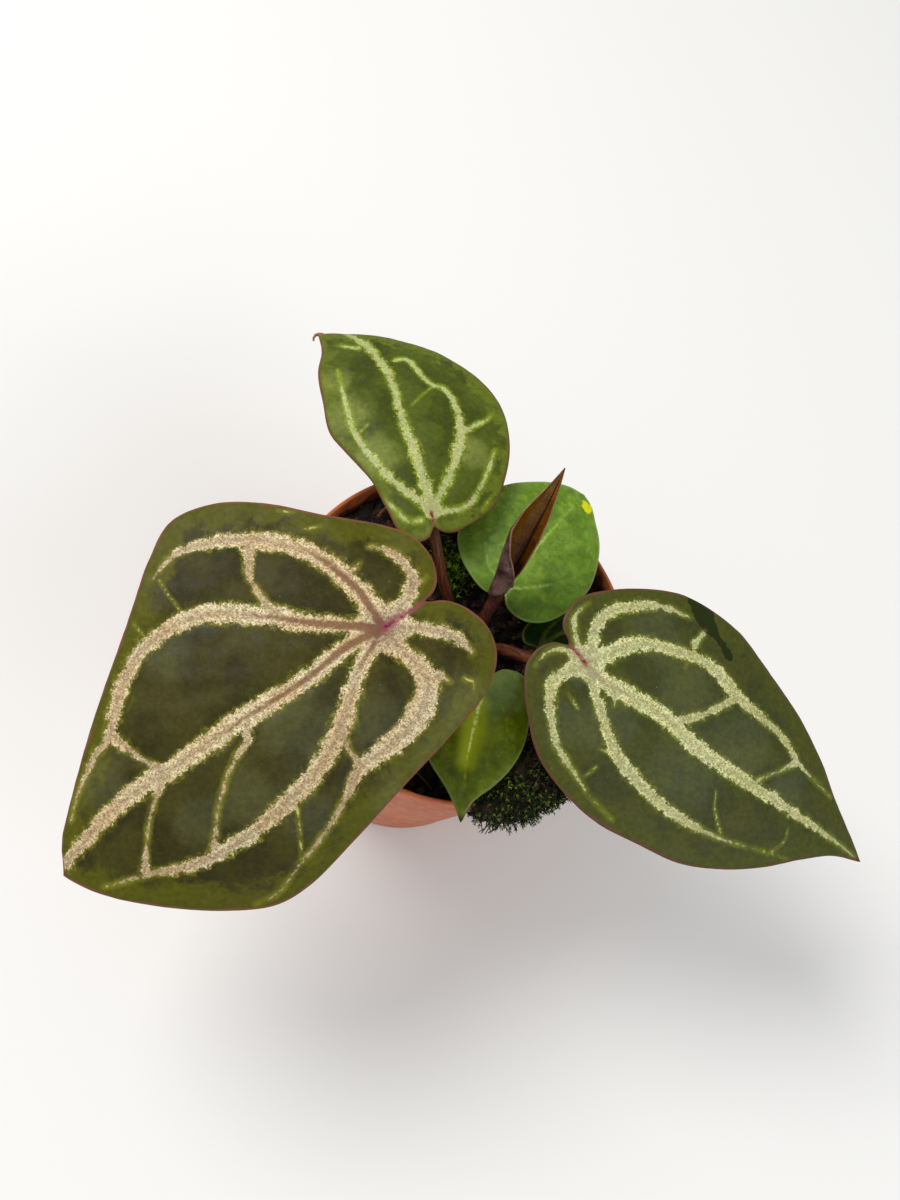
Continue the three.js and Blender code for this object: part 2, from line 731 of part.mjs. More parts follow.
// The dip in the soil that the pad of shoots sits in, open above
function shootsSeat() {
  const { centre, radius } = SHOOTS;
  const top = soilHeight(...centre) + 0.9;
  const profile = [
    [0, top - 3 - CLEARANCE],
    [radius * 0.8 + CLEARANCE, top - 3 - CLEARANCE],
    [radius + CLEARANCE, top - 1.2],
    [radius + 3, top + 6],
    [0, top + 6],
  ];
  return solidFrom(turned(profile, 12).translate(...centre, 0));
}

function shootsSolid() {
  const random = seededRandom(5);
  const [x, y] = SHOOTS.centre;
  const blades = [];
  for (let i = 0; i < 14; i++) {
    const angle = 2.4 * i;
    const reach = SHOOTS.radius * 0.75 * Math.sqrt((i + 0.5) / 14);
    const foot = new THREE.Vector3(x + reach * Math.cos(angle), y + reach * Math.sin(angle), 0);
    foot.z = soilHeight(x, y) - 0.3;
    const lean = new THREE.Vector3(0.7 * Math.cos(angle), 0.7 * Math.sin(angle), 1).normalize();
    blades.push(tuft(foot, lean, 3 + 1.6 * random(), 0.6));
  }
  return shootsPad().add(joined(blades));
}

// A dead brown stalk near the back of the pot
const DRY_STALK = [[-17.4, 28.6, 61], [-17, 29.2, 66], [-15.4, 29.8, 70]];

// Assembly

const COLOURS = {
  pot: [0xb5623a, 0.55],
  soil: [0x17110d, 0.95],
  stem: [0x5a3420, 0.8],
  petiole: [0x5f2d1c, 0.5],
  left: [0x474b28, 0.42],
  right: [0x44502a, 0.4],
  top: [0x4f6a2e, 0.42],
  round: [0x4f7d31, 0.4],
  front: [0x38601d, 0.38],
  small: [0x24471c, 0.4],
  newLeaf: [0x5a2a12, 0.3],
  moss: [0x1c2a12, 0.95],
  shoots: [0x6f9a2a, 0.8],
  dryStalk: [0x9a6534, 0.85],
};

const plant = new THREE.Group();

function addPiece(name, geometry, colourName) {
  const [color, roughness] = COLOURS[colourName];
  const material = new THREE.MeshStandardMaterial({ color, roughness, metalness: 0 });
  const mesh = new THREE.Mesh(geometry, material);
  mesh.name = name;
  plant.add(mesh);
}

function widerStalk(points, radius) {
  const start = [points[0][0], points[0][1], points[0][2] - CLEARANCE];
  return solidFrom(stalk([start, ...points.slice(1)], () => radius + CLEARANCE, 12, 8));
}

// A block that fills the width of the pot up to a level
function levelBlock(top) {
  return solidFrom(new THREE.BoxGeometry(100, 100, 40).translate(0, 0, top - 20));
}

const pot = potSolid();
const stem = stemSolid();
const shardRandom = seededRandom(3);
const shards = Array.from({ length: 22 }, () => barkShard(shardRandom));
const holes = Object.values(PETIOLES).map(({ path, radius }) => widerStalk(path, radius * 1.05));
const stemHole = turned(
  [
    [0, STEM_FOOT[2] - CLEARANCE],
    [STEM_RADIUS + CLEARANCE, STEM_FOOT[2] - CLEARANCE],
    [STEM_RADIUS + CLEARANCE, STEM_TOP + 6],
    [0, STEM_TOP + 6],
  ],
  16,
).translate(STEM_FOOT[0], STEM_FOOT[1], 0);
holes.push(solidFrom(stemHole));
holes.push(widerStalk(DRY_STALK, 0.6));
holes.push(shootsSeat());
holes.push(mossMound(1.2, 0).subtract(levelBlock(SOIL_LEVEL - 1 - CLEARANCE)));

const soil = largestBody(soilBody().add(joined(shards)).subtract(joined(holes)));

// The moss keeps clear of the pot's wall and rim, and of the soil under it.
const thickWall = solidFrom(
  turned(
    [
      [RIM_RADIUS + CLEARANCE, POT_HEIGHT + CLEARANCE],
      [innerRadius(POT_HEIGHT) - CLEARANCE, POT_HEIGHT + CLEARANCE],
      [innerRadius(POT_HEIGHT - BAND_HEIGHT) - CLEARANCE, POT_HEIGHT - BAND_HEIGHT],
      [innerRadius(30) - CLEARANCE, 30],
      [RIM_RADIUS + CLEARANCE, 30],
      [RIM_RADIUS + CLEARANCE, POT_HEIGHT + CLEARANCE],
    ],
    64,
  ),
);

addPiece("pot", geometryFrom(pot), "pot");
addPiece("soil", geometryFrom(soil), "soil");
addPiece("stem", geometryFrom(stem), "stem");
for (const name of Object.keys(BLADES)) {
  addPiece(name + "_petiole", petioleGeometry(name), "petiole");
  addPiece(name + "_blade", bladeGeometry(BLADES[name]), name);
}
addPiece("new_leaf_petiole", newPetioleGeometry(), "petiole");
addPiece("new_leaf_blade", newLeafGeometry(), "newLeaf");
addPiece("moss_cushion", geometryFrom(mossSolid(thickWall, levelBlock(SOIL_LEVEL - 1))), "moss");
addPiece("moss_shoots", geometryFrom(shootsSolid()), "shoots");
addPiece("dry_stalk", stalk(DRY_STALK, (t) => 0.6 - 0.3 * t, 5, 6), "dryStalk");

export default plant;
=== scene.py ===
import json
import math
import random

import bmesh
import bpy
import numpy as np
from mathutils import Matrix, Vector
from mathutils.geometry import delaunay_2d_cdt

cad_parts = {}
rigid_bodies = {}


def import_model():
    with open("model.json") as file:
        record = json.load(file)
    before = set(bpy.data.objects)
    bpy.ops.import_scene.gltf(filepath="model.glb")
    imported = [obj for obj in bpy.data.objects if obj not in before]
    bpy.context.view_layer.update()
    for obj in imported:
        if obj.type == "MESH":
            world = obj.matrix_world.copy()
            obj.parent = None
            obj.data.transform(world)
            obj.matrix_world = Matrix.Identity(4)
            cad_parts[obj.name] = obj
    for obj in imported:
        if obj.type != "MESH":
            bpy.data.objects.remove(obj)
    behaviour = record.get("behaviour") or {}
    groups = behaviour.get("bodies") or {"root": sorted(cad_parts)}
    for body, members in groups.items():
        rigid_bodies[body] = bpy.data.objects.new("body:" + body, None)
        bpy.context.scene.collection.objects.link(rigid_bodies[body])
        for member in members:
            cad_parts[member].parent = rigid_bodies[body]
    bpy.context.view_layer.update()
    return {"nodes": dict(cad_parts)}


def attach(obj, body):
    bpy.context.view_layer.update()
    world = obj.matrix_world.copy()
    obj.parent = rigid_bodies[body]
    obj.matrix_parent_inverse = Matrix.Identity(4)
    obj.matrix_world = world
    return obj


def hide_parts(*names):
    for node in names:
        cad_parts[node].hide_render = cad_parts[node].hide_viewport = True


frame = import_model()
mm = 0.001
scene = bpy.context.scene
print("frame loaded:", len(frame["nodes"]), "nodes")


# camera, at the photo's viewing angle
view = {
    "place": (-72.98, -111.10, 340.87),  # mm
    "right": (0.97063, -0.04009, 0.23721),
    "back": (-0.23382, -0.38915, 0.89101),
    "lens": 40.5,
}


def makeCamera():
    back = Vector(view["back"]).normalized()
    up = back.cross(Vector(view["right"])).normalized()
    right = up.cross(back)
    data = bpy.data.cameras.new("photoCamera")
    data.lens = view["lens"]
    data.sensor_width = 36
    data.sensor_fit = "AUTO"
    data.clip_start = 0.01
    cam = bpy.data.objects.new("photoCamera", data)
    scene.collection.objects.link(cam)
    turn = Matrix((right, up, back)).transposed().to_4x4()
    cam.matrix_world = Matrix.Translation(Vector(view["place"]) * mm) @ turn
    scene.camera = cam


makeCamera()


# meshes

def makePiece(name, verts, faces, materials=(), faceSlots=None, units=mm):
    mesh = bpy.data.meshes.new(name)
    mesh.from_pydata((np.asarray(verts, float) * units).tolist(), [], faces)
    mesh.update()
    mesh.polygons.foreach_set("use_smooth", [True] * len(mesh.polygons))
    for material in materials:
        mesh.materials.append(material)
    if faceSlots is not None:
        mesh.polygons.foreach_set("material_index", faceSlots)
    piece = bpy.data.objects.new(name, mesh)
    scene.collection.objects.link(piece)
    return piece


def storeValue(piece, name, values):
    layer = piece.data.attributes.new(name, "FLOAT", "POINT")
    layer.data.foreach_set("value", np.asarray(values, np.float32))


# rides on the plant and stands for its CAD nodes; the slot is not used
def settle(piece, slot, *nodes):
    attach(piece, "root")
    if nodes:
        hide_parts(*nodes)


def smoothStep(x, low, high):
    t = np.clip((x - low) / (high - low), 0, 1)
    return t * t * (3 - 2 * t)


# an even row of points on the centripetal curve through the given ones
def smoothLine(points, spacing):
    p = np.asarray(points, float)
    p = np.vstack([2 * p[0] - p[1], p, 2 * p[-1] - p[-2]])
    rows = []
    for i in range(len(p) - 3):
        p0, p1, p2, p3 = p[i:i + 4]
        k1 = np.linalg.norm(p1 - p0) ** 0.5
        k2 = k1 + np.linalg.norm(p2 - p1) ** 0.5
        k3 = k2 + np.linalg.norm(p3 - p2) ** 0.5
        t = np.linspace(k1, k2, 14, endpoint=False)[:, None]
        a1 = (k1 - t) / k1 * p0 + t / k1 * p1
        a2 = (k2 - t) / (k2 - k1) * p1 + (t - k1) / (k2 - k1) * p2
        a3 = (k3 - t) / (k3 - k2) * p2 + (t - k2) / (k3 - k2) * p3
        b1 = (k2 - t) / k2 * a1 + t / k2 * a2
        b2 = (k3 - t) / (k3 - k1) * a2 + (t - k1) / (k3 - k1) * a3
        rows.append((k2 - t) / (k2 - k1) * b1 + (t - k1) / (k2 - k1) * b2)
    line = np.vstack(rows + [p[-2]])
    steps = np.linalg.norm(np.diff(line, axis=0), axis=1)
    reach = np.concatenate([[0], np.cumsum(steps)])
    count = max(2, int(round(reach[-1] / spacing)))
    even = np.linspace(0, reach[-1], count + 1)
    return np.stack([np.interp(even, reach, line[:, k]) for k in range(line.shape[1])], 1)


# distance from each point to a row of points, and how far along it that is, 0 to 1
def distanceTo(points, line):
    best = np.full(len(points), 1e9)
    along = np.zeros(len(points))
    for i in range(len(line) - 1):
        a, b = line[i], line[i + 1]
        ab = b - a
        t = np.clip(((points - a) @ ab) / (ab @ ab), 0, 1)
        gap = np.linalg.norm(points - a - t[:, None] * ab, axis=1)
        near = gap < best
        best[near] = gap[near]
        along[near] = (i + t[near]) / (len(line) - 1)
    return best, along


# which points lie in a closed flat loop
def inside(points, loop):
    x, y = points[:, 0], points[:, 1]
    found = np.zeros(len(points), bool)
    for (x0, y0), (x1, y1) in zip(loop, np.roll(loop, -1, axis=0)):
        if y0 == y1:
            continue
        crosses = (y0 > y) != (y1 > y)
        found ^= crosses & (x < (x1 - x0) * (y - y0) / (y1 - y0) + x0)
    return found


# a soft bumpy pattern from -1 to 1 with bumps about size across
def ripple(x, y, size, seed):
    chance = random.Random(seed)
    total = np.zeros_like(x)
    for _ in range(9):
        angle = chance.uniform(0, math.tau)
        pitch = math.tau / (size * chance.uniform(1.3, 3.2))
        shift = chance.uniform(0, math.tau)
        total += np.sin(pitch * (x * math.cos(angle) + y * math.sin(angle)) + shift)
    return total / 4.5


# nodes

def addNode(tree, kind, values=None, links=None, **settings):
    node = tree.nodes.new(kind)
    node.location = (190 * (len(tree.nodes) % 9), -260 * (len(tree.nodes) // 9))
    for key, value in settings.items():
        setattr(node, key, value)
    for key, value in (values or {}).items():
        node.inputs[key].default_value = value
    for key, source in (links or {}).items():
        tree.links.new(source, node.inputs[key])
    return node


# a link where the value is a socket, and a plain value otherwise
def feed(tree, socket, value):
    if isinstance(value, bpy.types.NodeSocket):
        tree.links.new(value, socket)
    else:
        socket.default_value = value


def maths(tree, operation, a, b=0.0, clamp=False):
    node = addNode(tree, "ShaderNodeMath", operation=operation, use_clamp=clamp)
    feed(tree, node.inputs[0], a)
    feed(tree, node.inputs[1], b)
    return node.outputs[0]


def plus(tree, a, b):
    return maths(tree, "ADD", a, b)


def minus(tree, a, b):
    return maths(tree, "SUBTRACT", a, b)


def times(tree, a, b):
    return maths(tree, "MULTIPLY", a, b)


# value between low and high becomes toLow to toHigh, with soft ends
def ease(tree, value, low, high, toLow=0.0, toHigh=1.0):
    node = addNode(tree, "ShaderNodeMapRange", interpolation_type="SMOOTHSTEP")
    feed(tree, node.inputs["Value"], value)
    for key, number in zip(("From Min", "From Max", "To Min", "To Max"), (low, high, toLow, toHigh)):
        feed(tree, node.inputs[key], number)
    return node.outputs["Result"]


def blendColour(tree, share, first, second, mode="MIX"):
    node = addNode(tree, "ShaderNodeMix", data_type="RGBA", blend_type=mode)
    feed(tree, node.inputs["Factor"], share)
    feed(tree, node.inputs[6], first)
    feed(tree, node.inputs[7], second)
    return node.outputs[2]


def attribute(tree, name):
    return addNode(tree, "ShaderNodeAttribute", attribute_name=name).outputs["Fac"]


def place(tree):
    return addNode(tree, "ShaderNodeTexCoord").outputs["Object"]


# noise with bumps about size mm across
def noise(tree, size, detail=2.0, rough=0.5, where=None, warp=0.0):
    settings = {"Scale": 1 / (size * mm), "Detail": detail, "Roughness": rough, "Distortion": warp}
    return addNode(tree, "ShaderNodeTexNoise", values=settings,
                   links={"Vector": where or place(tree)}).outputs["Fac"]


# a value with a ragged edge: the noise takes it up to reach above or below what it was
def frayed(tree, value, size, reach, detail=3):
    return plus(tree, value, ease(tree, noise(tree, size, detail), 0, 1, -reach, reach))


# cells about size mm across
def cells(tree, size, output="Distance"):
    return addNode(tree, "ShaderNodeTexVoronoi", values={"Scale": 1 / (size * mm)},
                   links={"Vector": place(tree)}).outputs[output]


# a colour as a picture editor shows it, 0 to 255
def colour(red, green, blue):
    def linear(c):
        c /= 255
        return c / 12.92 if c <= 0.04045 else ((c + 0.055) / 1.055) ** 2.4
    return (linear(red), linear(green), linear(blue), 1.0)


# a node group with named sockets; returns it with its input and output nodes
def makeGroup(name, inputs, outputs, kind="ShaderNodeTree"):
    tree = bpy.data.node_groups.new(name, kind)
    for side, sockets in (("INPUT", inputs), ("OUTPUT", outputs)):
        for label, socketType, default in sockets:
            socket = tree.interface.new_socket(name=label, in_out=side, socket_type="NodeSocket" + socketType)
            if default is not None:
                socket.default_value = default
    return tree, addNode(tree, "NodeGroupInput"), addNode(tree, "NodeGroupOutput")


def useGroup(tree, group, values=None, links=None):
    node = addNode(tree, "ShaderNodeGroup", node_tree=group)
    for key, value in (values or {}).items():
        node.inputs[key].default_value = value
    for key, source in (links or {}).items():
        tree.links.new(source, node.inputs[key])
    return node


# a material with one Principled shader; the shader's own sockets take the plain values
def startMaterial(name, **shader):
    material = bpy.data.materials.new(name)
    material.use_nodes = True
    tree = material.node_tree
    tree.nodes.clear()
    values = {key.replace("_", " "): value for key, value in shader.items()}
    surface = addNode(tree, "ShaderNodeBsdfPrincipled", values=values)
    addNode(tree, "ShaderNodeOutputMaterial", links={"Surface": surface.outputs[0]})
    return material, tree, surface


# the shader's colour, and its roughness where that varies
def paint(tree, surface, shade, rough=None):
    tree.links.new(shade, surface.inputs["Base Color"])
    if rough is not None:
        tree.links.new(rough, surface.inputs["Roughness"])


# roughness from low to high, in patches about size mm across
def patchyRough(tree, size, low, high, detail=3, rough=0.5):
    return ease(tree, noise(tree, size, detail, rough), 0.3, 0.7, low, high)


# relief with its depth in mm; surface is None where another bump lies over it
def bump(tree, surface, height, depth, strength=1.0, below=None):
    node = addNode(tree, "ShaderNodeBump", values={"Strength": strength, "Distance": depth * mm})
    tree.links.new(height, node.inputs["Height"])
    if below is not None:
        tree.links.new(below, node.inputs["Normal"])
    if surface is not None:
        tree.links.new(node.outputs[0], surface.inputs["Normal"])
    return node.outputs[0]


# shader groups

# a vein's ragged, sparkling band from the gap to its edge and its half width, both in mm
def makeGranularBand():
    tree, start, end = makeGroup(
        "granularBand",
        [("Gap", "Float", 1.0), ("Half", "Float", 1.0), ("Ragged", "Float", 0.6),
         ("Fringe Width", "Float", 0.8)],
        [("Mask", "Float", None), ("Fringe", "Float", None), ("Grain", "Float", None)],
    )
    given = start.outputs
    teeth = minus(tree, noise(tree, 0.6, 4, 0.75, warp=0.6), 0.5)
    bays = minus(tree, noise(tree, 2.1, 2, 0.5), 0.5)
    swing = plus(tree, times(tree, teeth, 3.4), times(tree, bays, 2.2))
    # narrow veins swing less
    swing = times(tree, swing, ease(tree, given["Half"], 0.1, 1.1, 0.25, 1.0))
    ragged = plus(tree, given["Gap"], times(tree, swing, given["Ragged"]))
    mask = ease(tree, ragged, 0.1, -0.16)
    fringe = ease(tree, ragged, given["Fringe Width"], 0.0)
    speck = cells(tree, 0.24, "Color")
    bright = addNode(tree, "ShaderNodeSeparateColor", links={"Color": speck}).outputs[0]
    grain = plus(tree, times(tree, bright, 0.5), times(tree, noise(tree, 0.7, 3), 0.6))
    tree.links.new(mask, end.inputs["Mask"])
    tree.links.new(fringe, end.inputs["Fringe"])
    tree.links.new(grain, end.inputs["Grain"])
    return tree


# the fine net of small veins, and the pebbled skin between them
def makeLeafNet():
    tree, start, end = makeGroup(
        "leafNet",
        [("Net Size", "Float", 1.6), ("Skin Size", "Float", 0.35)],
        [("Net", "Float", None), ("Skin", "Float", None)],
    )
    where = place(tree)
    # a push of up to 1.2 mm bends the net's straight lines
    bend = addNode(tree, "ShaderNodeTexNoise", values={"Scale": 420.0, "Detail": 2.0},
                   links={"Vector": where}).outputs["Color"]
    push = addNode(tree, "ShaderNodeVectorMath", operation="SCALE", values={"Scale": 1.2 * mm},
                   links={0: bend}).outputs[0]
    moved = addNode(tree, "ShaderNodeVectorMath", operation="ADD", links={0: where, 1: push}).outputs[0]
    net = addNode(tree, "ShaderNodeTexVoronoi", feature="DISTANCE_TO_EDGE", links={"Vector": moved})
    tree.links.new(maths(tree, "DIVIDE", 1 / mm, start.outputs["Net Size"]), net.inputs["Scale"])
    skin = addNode(tree, "ShaderNodeTexNoise", values={"Detail": 1.0}, links={"Vector": where})
    tree.links.new(maths(tree, "DIVIDE", 1 / mm, start.outputs["Skin Size"]), skin.inputs["Scale"])
    tree.links.new(ease(tree, net.outputs["Distance"], 0.09, 0.0), end.inputs["Net"])
    tree.links.new(skin.outputs["Fac"], end.inputs["Skin"])
    return tree


# sparse pale dots of dust and dried water
def makeDustSpecks():
    tree, start, end = makeGroup(
        "dustSpecks",
        [("Spacing", "Float", 4.0), ("Size", "Float", 0.05)],
        [("Mask", "Float", None)],
    )
    dots = addNode(tree, "ShaderNodeTexVoronoi", links={"Vector": place(tree)})
    tree.links.new(maths(tree, "DIVIDE", 1 / mm, start.outputs["Spacing"]), dots.inputs["Scale"])
    chosen = addNode(tree, "ShaderNodeSeparateColor", links={"Color": dots.outputs["Color"]}).outputs[1]
    few = ease(tree, chosen, 0.45, 0.5)
    dot = ease(tree, dots.outputs["Distance"], start.outputs["Size"], 0.0)
    tree.links.new(times(tree, few, dot), end.inputs["Mask"])
    return tree


granularBand = makeGranularBand()
leafNet = makeLeafNet()
dustSpecks = makeDustSpecks()


# leaf materials

def veinedLeafTop(name, look):
    material, tree, surface = startMaterial(name, Roughness=look["gloss"], Specular_IOR_Level=look["shine"])
    rim = attribute(tree, "rim")
    hub = attribute(tree, "hub")
    # silver fills the corners between the veins round the hub
    half = minus(tree, attribute(tree, "rib"), attribute(tree, "band"))
    band = minus(tree, attribute(tree, "band"),
                 ease(tree, hub, look["hubFill"], look["hubFill"] * 0.35, 0.0, 2.0))
    veins = useGroup(tree, granularBand, {"Ragged": look["ragged"], "Fringe Width": look["fringeWidth"]},
                     {"Gap": band, "Half": half}).outputs
    hair = useGroup(tree, granularBand, {"Ragged": 0.28, "Fringe Width": 0.7},
                    {"Gap": attribute(tree, "hair")}).outputs
    net = useGroup(tree, leafNet, {"Net Size": look["netSize"], "Skin Size": 0.4}).outputs

    # the green between the veins
    patch = ease(tree, noise(tree, 8, 2, 0.5, warp=0.4), 0.35, 0.65)
    green = blendColour(tree, patch, look["green"], look["greenOther"])
    cloud = noise(tree, 3.6, 4, 0.6, warp=0.5)
    border = plus(tree, rim, ease(tree, cloud, 0.2, 0.8, -3.2, 3.2))
    green = blendColour(tree, ease(tree, border, look["borderReach"], look["borderReach"] * 0.35), green,
                        look["border"])
    # painted sheen: a soft grey bloom of reflected light is painted over some of it
    paintedSheen = plus(tree, attribute(tree, "paintedSheen"), ease(tree, cloud, 0, 1, -0.4, 0.4))
    green = blendColour(tree, times(tree, ease(tree, paintedSheen, 0.15, 1.0), look["paintedSheenShare"]), green,
                        look["paintedSheen"], "ADD")
    mottle = ease(tree, noise(tree, 1.1, 4, 0.65), 0.25, 0.8, 0.8, 1.22)
    green = blendColour(tree, 1.0, green, mottle, "MULTIPLY")
    green = blendColour(tree, times(tree, net["Net"], look["netShare"]), green, look["net"])

    # yellow-green fringe, silver band and its core
    fringe = times(tree, veins["Fringe"], ease(tree, noise(tree, 3.0, 2), 0.3, 0.6, 0.3, 1.0))
    shade = blendColour(tree, times(tree, fringe, look["fringeShare"]), green, look["fringe"])
    hairShade = blendColour(tree, times(tree, hair["Fringe"], 0.45), shade, look["fringe"])
    shade = blendColour(tree, times(tree, hair["Mask"], 0.85), hairShade, look["hair"])
    grain = ease(tree, veins["Grain"], 0.2, 0.9)
    silver = blendColour(tree, grain, look["silverDark"], look["silver"])
    pale = ease(tree, noise(tree, 12, 1), 0.4, 0.6)
    silver = blendColour(tree, times(tree, pale, 0.55), silver, look["silverWarm"], "MULTIPLY")
    middle = frayed(tree, attribute(tree, "rib"), 0.7, 0.5)
    spine = times(tree, ease(tree, middle, 1.15, 0.0), look["spineShare"])
    silver = blendColour(tree, spine, silver, look["spine"])
    shade = blendColour(tree, times(tree, veins["Mask"], look["silverShare"]), shade, silver)
    coreGap = frayed(tree, attribute(tree, "core"), 0.8, 0.35)
    coreShare = times(tree, ease(tree, coreGap, 0.4, -0.3), look["coreShare"])
    shade = blendColour(tree, coreShare, shade, look["core"])

    # the red joint with the petiole, the fine margin, the tip and a little dust
    hubEdge = plus(tree, hub, ease(tree, cloud, 0.2, 0.8, -1.5, 1.5))
    glow = times(tree, ease(tree, hubEdge, look["hubReach"], 0.2), look["hubShare"])
    shade = blendColour(tree, glow, shade, look["hub"])
    # wide and pink at the hub, thin and pale at the notch, with a dark line in it
    creaseGap = frayed(tree, attribute(tree, "sinus"), 0.6, 0.35)
    creaseGap = plus(tree, creaseGap, ease(tree, hub, 0, 12, 0.0, look["creaseWidth"] * 0.5))
    crease = ease(tree, creaseGap, look["creaseWidth"] * 1.25, look["creaseWidth"] * 0.3)
    shade = blendColour(tree, times(tree, crease, 0.85), shade, look["creasePale"])
    shade = blendColour(tree, ease(tree, creaseGap, look["creaseWidth"] * 0.5, 0.0), shade, look["crease"])
    margin = plus(tree, rim, ease(tree, noise(tree, 6, 2), 0.3, 0.7, -0.1, 0.25))
    shade = blendColour(tree, ease(tree, margin, 0.55, 0.25), shade, look["margin"])
    shade = blendColour(tree, ease(tree, attribute(tree, "tip"), 1.7, 0.5), shade, look["tip"])
    specks = useGroup(tree, dustSpecks, {"Spacing": 3.4, "Size": 0.045}).outputs["Mask"]
    shade = blendColour(tree, times(tree, specks, 0.5), shade, look["dust"])
    # where water has run the skin is darker and deeper green
    water = ease(tree, frayed(tree, attribute(tree, "wet"), 0.9, 0.45), 0.12, -0.05)
    shade = blendColour(tree, times(tree, water, 0.86), shade, look["water"])

    rough = ease(tree, noise(tree, 4, 3, 0.6), 0.25, 0.75, look["gloss"] - 0.06, look["gloss"] + 0.08)
    rough = minus(tree, rough, times(tree, veins["Mask"], times(tree, grain, 0.1)))
    rough = minus(tree, rough, times(tree, water, 0.24))
    paint(tree, surface, shade, rough)
    grit = times(tree, ease(tree, band, 0.2, -0.3), veins["Grain"])
    bump(tree, surface, plus(tree, grit, times(tree, net["Skin"], 0.35)), 0.08, 0.8)
    return material


# paler, with the same veins standing out as ribs
def leafUnderside(name, look):
    material, tree, surface = startMaterial(name, Roughness=0.55, Specular_IOR_Level=0.4, Sheen_Weight=0.1)
    net = useGroup(tree, leafNet, {"Net Size": look["netSize"], "Skin Size": 0.4}).outputs
    base = blendColour(tree, ease(tree, noise(tree, 6, 3), 0.3, 0.7), look["under"], look["underOther"])
    base = blendColour(tree, times(tree, net["Net"], 0.35), base, look["underVein"])
    ribs = ease(tree, frayed(tree, attribute(tree, "rib"), 1.0, 0.2, 2), 0.9, 0.2)
    base = blendColour(tree, ribs, base, look["underVein"])
    red = times(tree, ease(tree, attribute(tree, "hub"), 9, 1), 0.7)
    base = blendColour(tree, red, base, look["crease"])
    base = blendColour(tree, ease(tree, attribute(tree, "rim"), 0.6, 0.2), base, look["margin"])
    paint(tree, surface, base)
    skin = bump(tree, None, net["Skin"], 0.05, 0.4)
    bump(tree, surface, net["Net"], 0.12, 0.7, skin)
    return material


# blades

def bladeAxes(leaf):
    petiole, tip = np.array(leaf["petiole"], float), np.array(leaf["tip"], float)
    along = tip - petiole
    length = np.linalg.norm(along)
    along /= length
    level = np.cross([0, 0, 1], along)
    level /= np.linalg.norm(level)
    roll = math.radians(leaf["roll"])
    across = level * math.cos(roll) + np.cross(along, level) * math.sin(roll)
    return petiole, along, across, np.cross(along, across), length


# outline, and points that fill it, on the leaf's own flat u and v, in mm
def bladePoints(leaf):
    left = smoothLine([leaf["notch"]] + leaf["leftEdge"], leaf["grid"] * 0.8)
    right = smoothLine([leaf["notch"]] + leaf["rightEdge"], leaf["grid"] * 0.8)
    loop = np.vstack([left, right[::-1][1:-1]])
    chance = np.random.default_rng(leaf["seed"])
    low, high = loop.min(0), loop.max(0)
    step = leaf["grid"]
    columns = np.arange(low[0], high[0], step)
    rows = np.arange(low[1], high[1], step * 0.866)
    u, v = np.meshgrid(columns, rows)
    u = u + (np.arange(len(rows)) % 2)[:, None] * step / 2
    fill = np.stack([u.ravel(), v.ravel()], 1)
    fill += chance.uniform(-0.12, 0.12, fill.shape) * step
    fill = fill[inside(fill, loop)]
    gap, _ = distanceTo(fill, np.vstack([loop, loop[:1]]))
    fill = fill[gap > step * 0.5]
    corners = [Vector(p) for p in np.vstack([loop, fill])]
    flat, _, faces, *_ = delaunay_2d_cdt(corners, [], [list(range(len(loop)))], 1, 1e-6)
    flat = np.array([tuple(p) for p in flat])
    faces = np.array([list(f) for f in faces if len(f) == 3])
    a, b, c = (flat[faces[:, k]] for k in range(3))
    turned = (b[:, 0] - a[:, 0]) * (c[:, 1] - a[:, 1]) - (b[:, 1] - a[:, 1]) * (c[:, 0] - a[:, 0]) < 0
    faces[turned] = faces[turned][:, ::-1]
    return loop, flat, faces


# least distance to the edge of any vein in a list, each vein with its half widths along it
def veinGaps(flat, veins):
    gap = np.full(len(flat), 30.0)
    for vein in veins:
        line = smoothLine(vein["line"], 0.8)
        away, along = distanceTo(flat, line)
        half = np.interp(along, np.linspace(0, 1, len(vein["half"])), vein["half"])
        gap = np.minimum(gap, away - half)
    return gap


# how far out each point lies, 0 at the petiole and 1 at the edge
def edgeShare(flat, loop, notch):
    start = math.atan2(notch[1], notch[0])
    turn = np.mod(np.arctan2(loop[:, 1], loop[:, 0]) - start, math.tau)
    order = np.argsort(turn)
    reach = np.linalg.norm(loop, axis=1)[order]
    here = np.mod(np.arctan2(flat[:, 1], flat[:, 0]) - start, math.tau)
    return np.clip(np.linalg.norm(flat, axis=1) / np.interp(here, turn[order], reach), 0, 1)


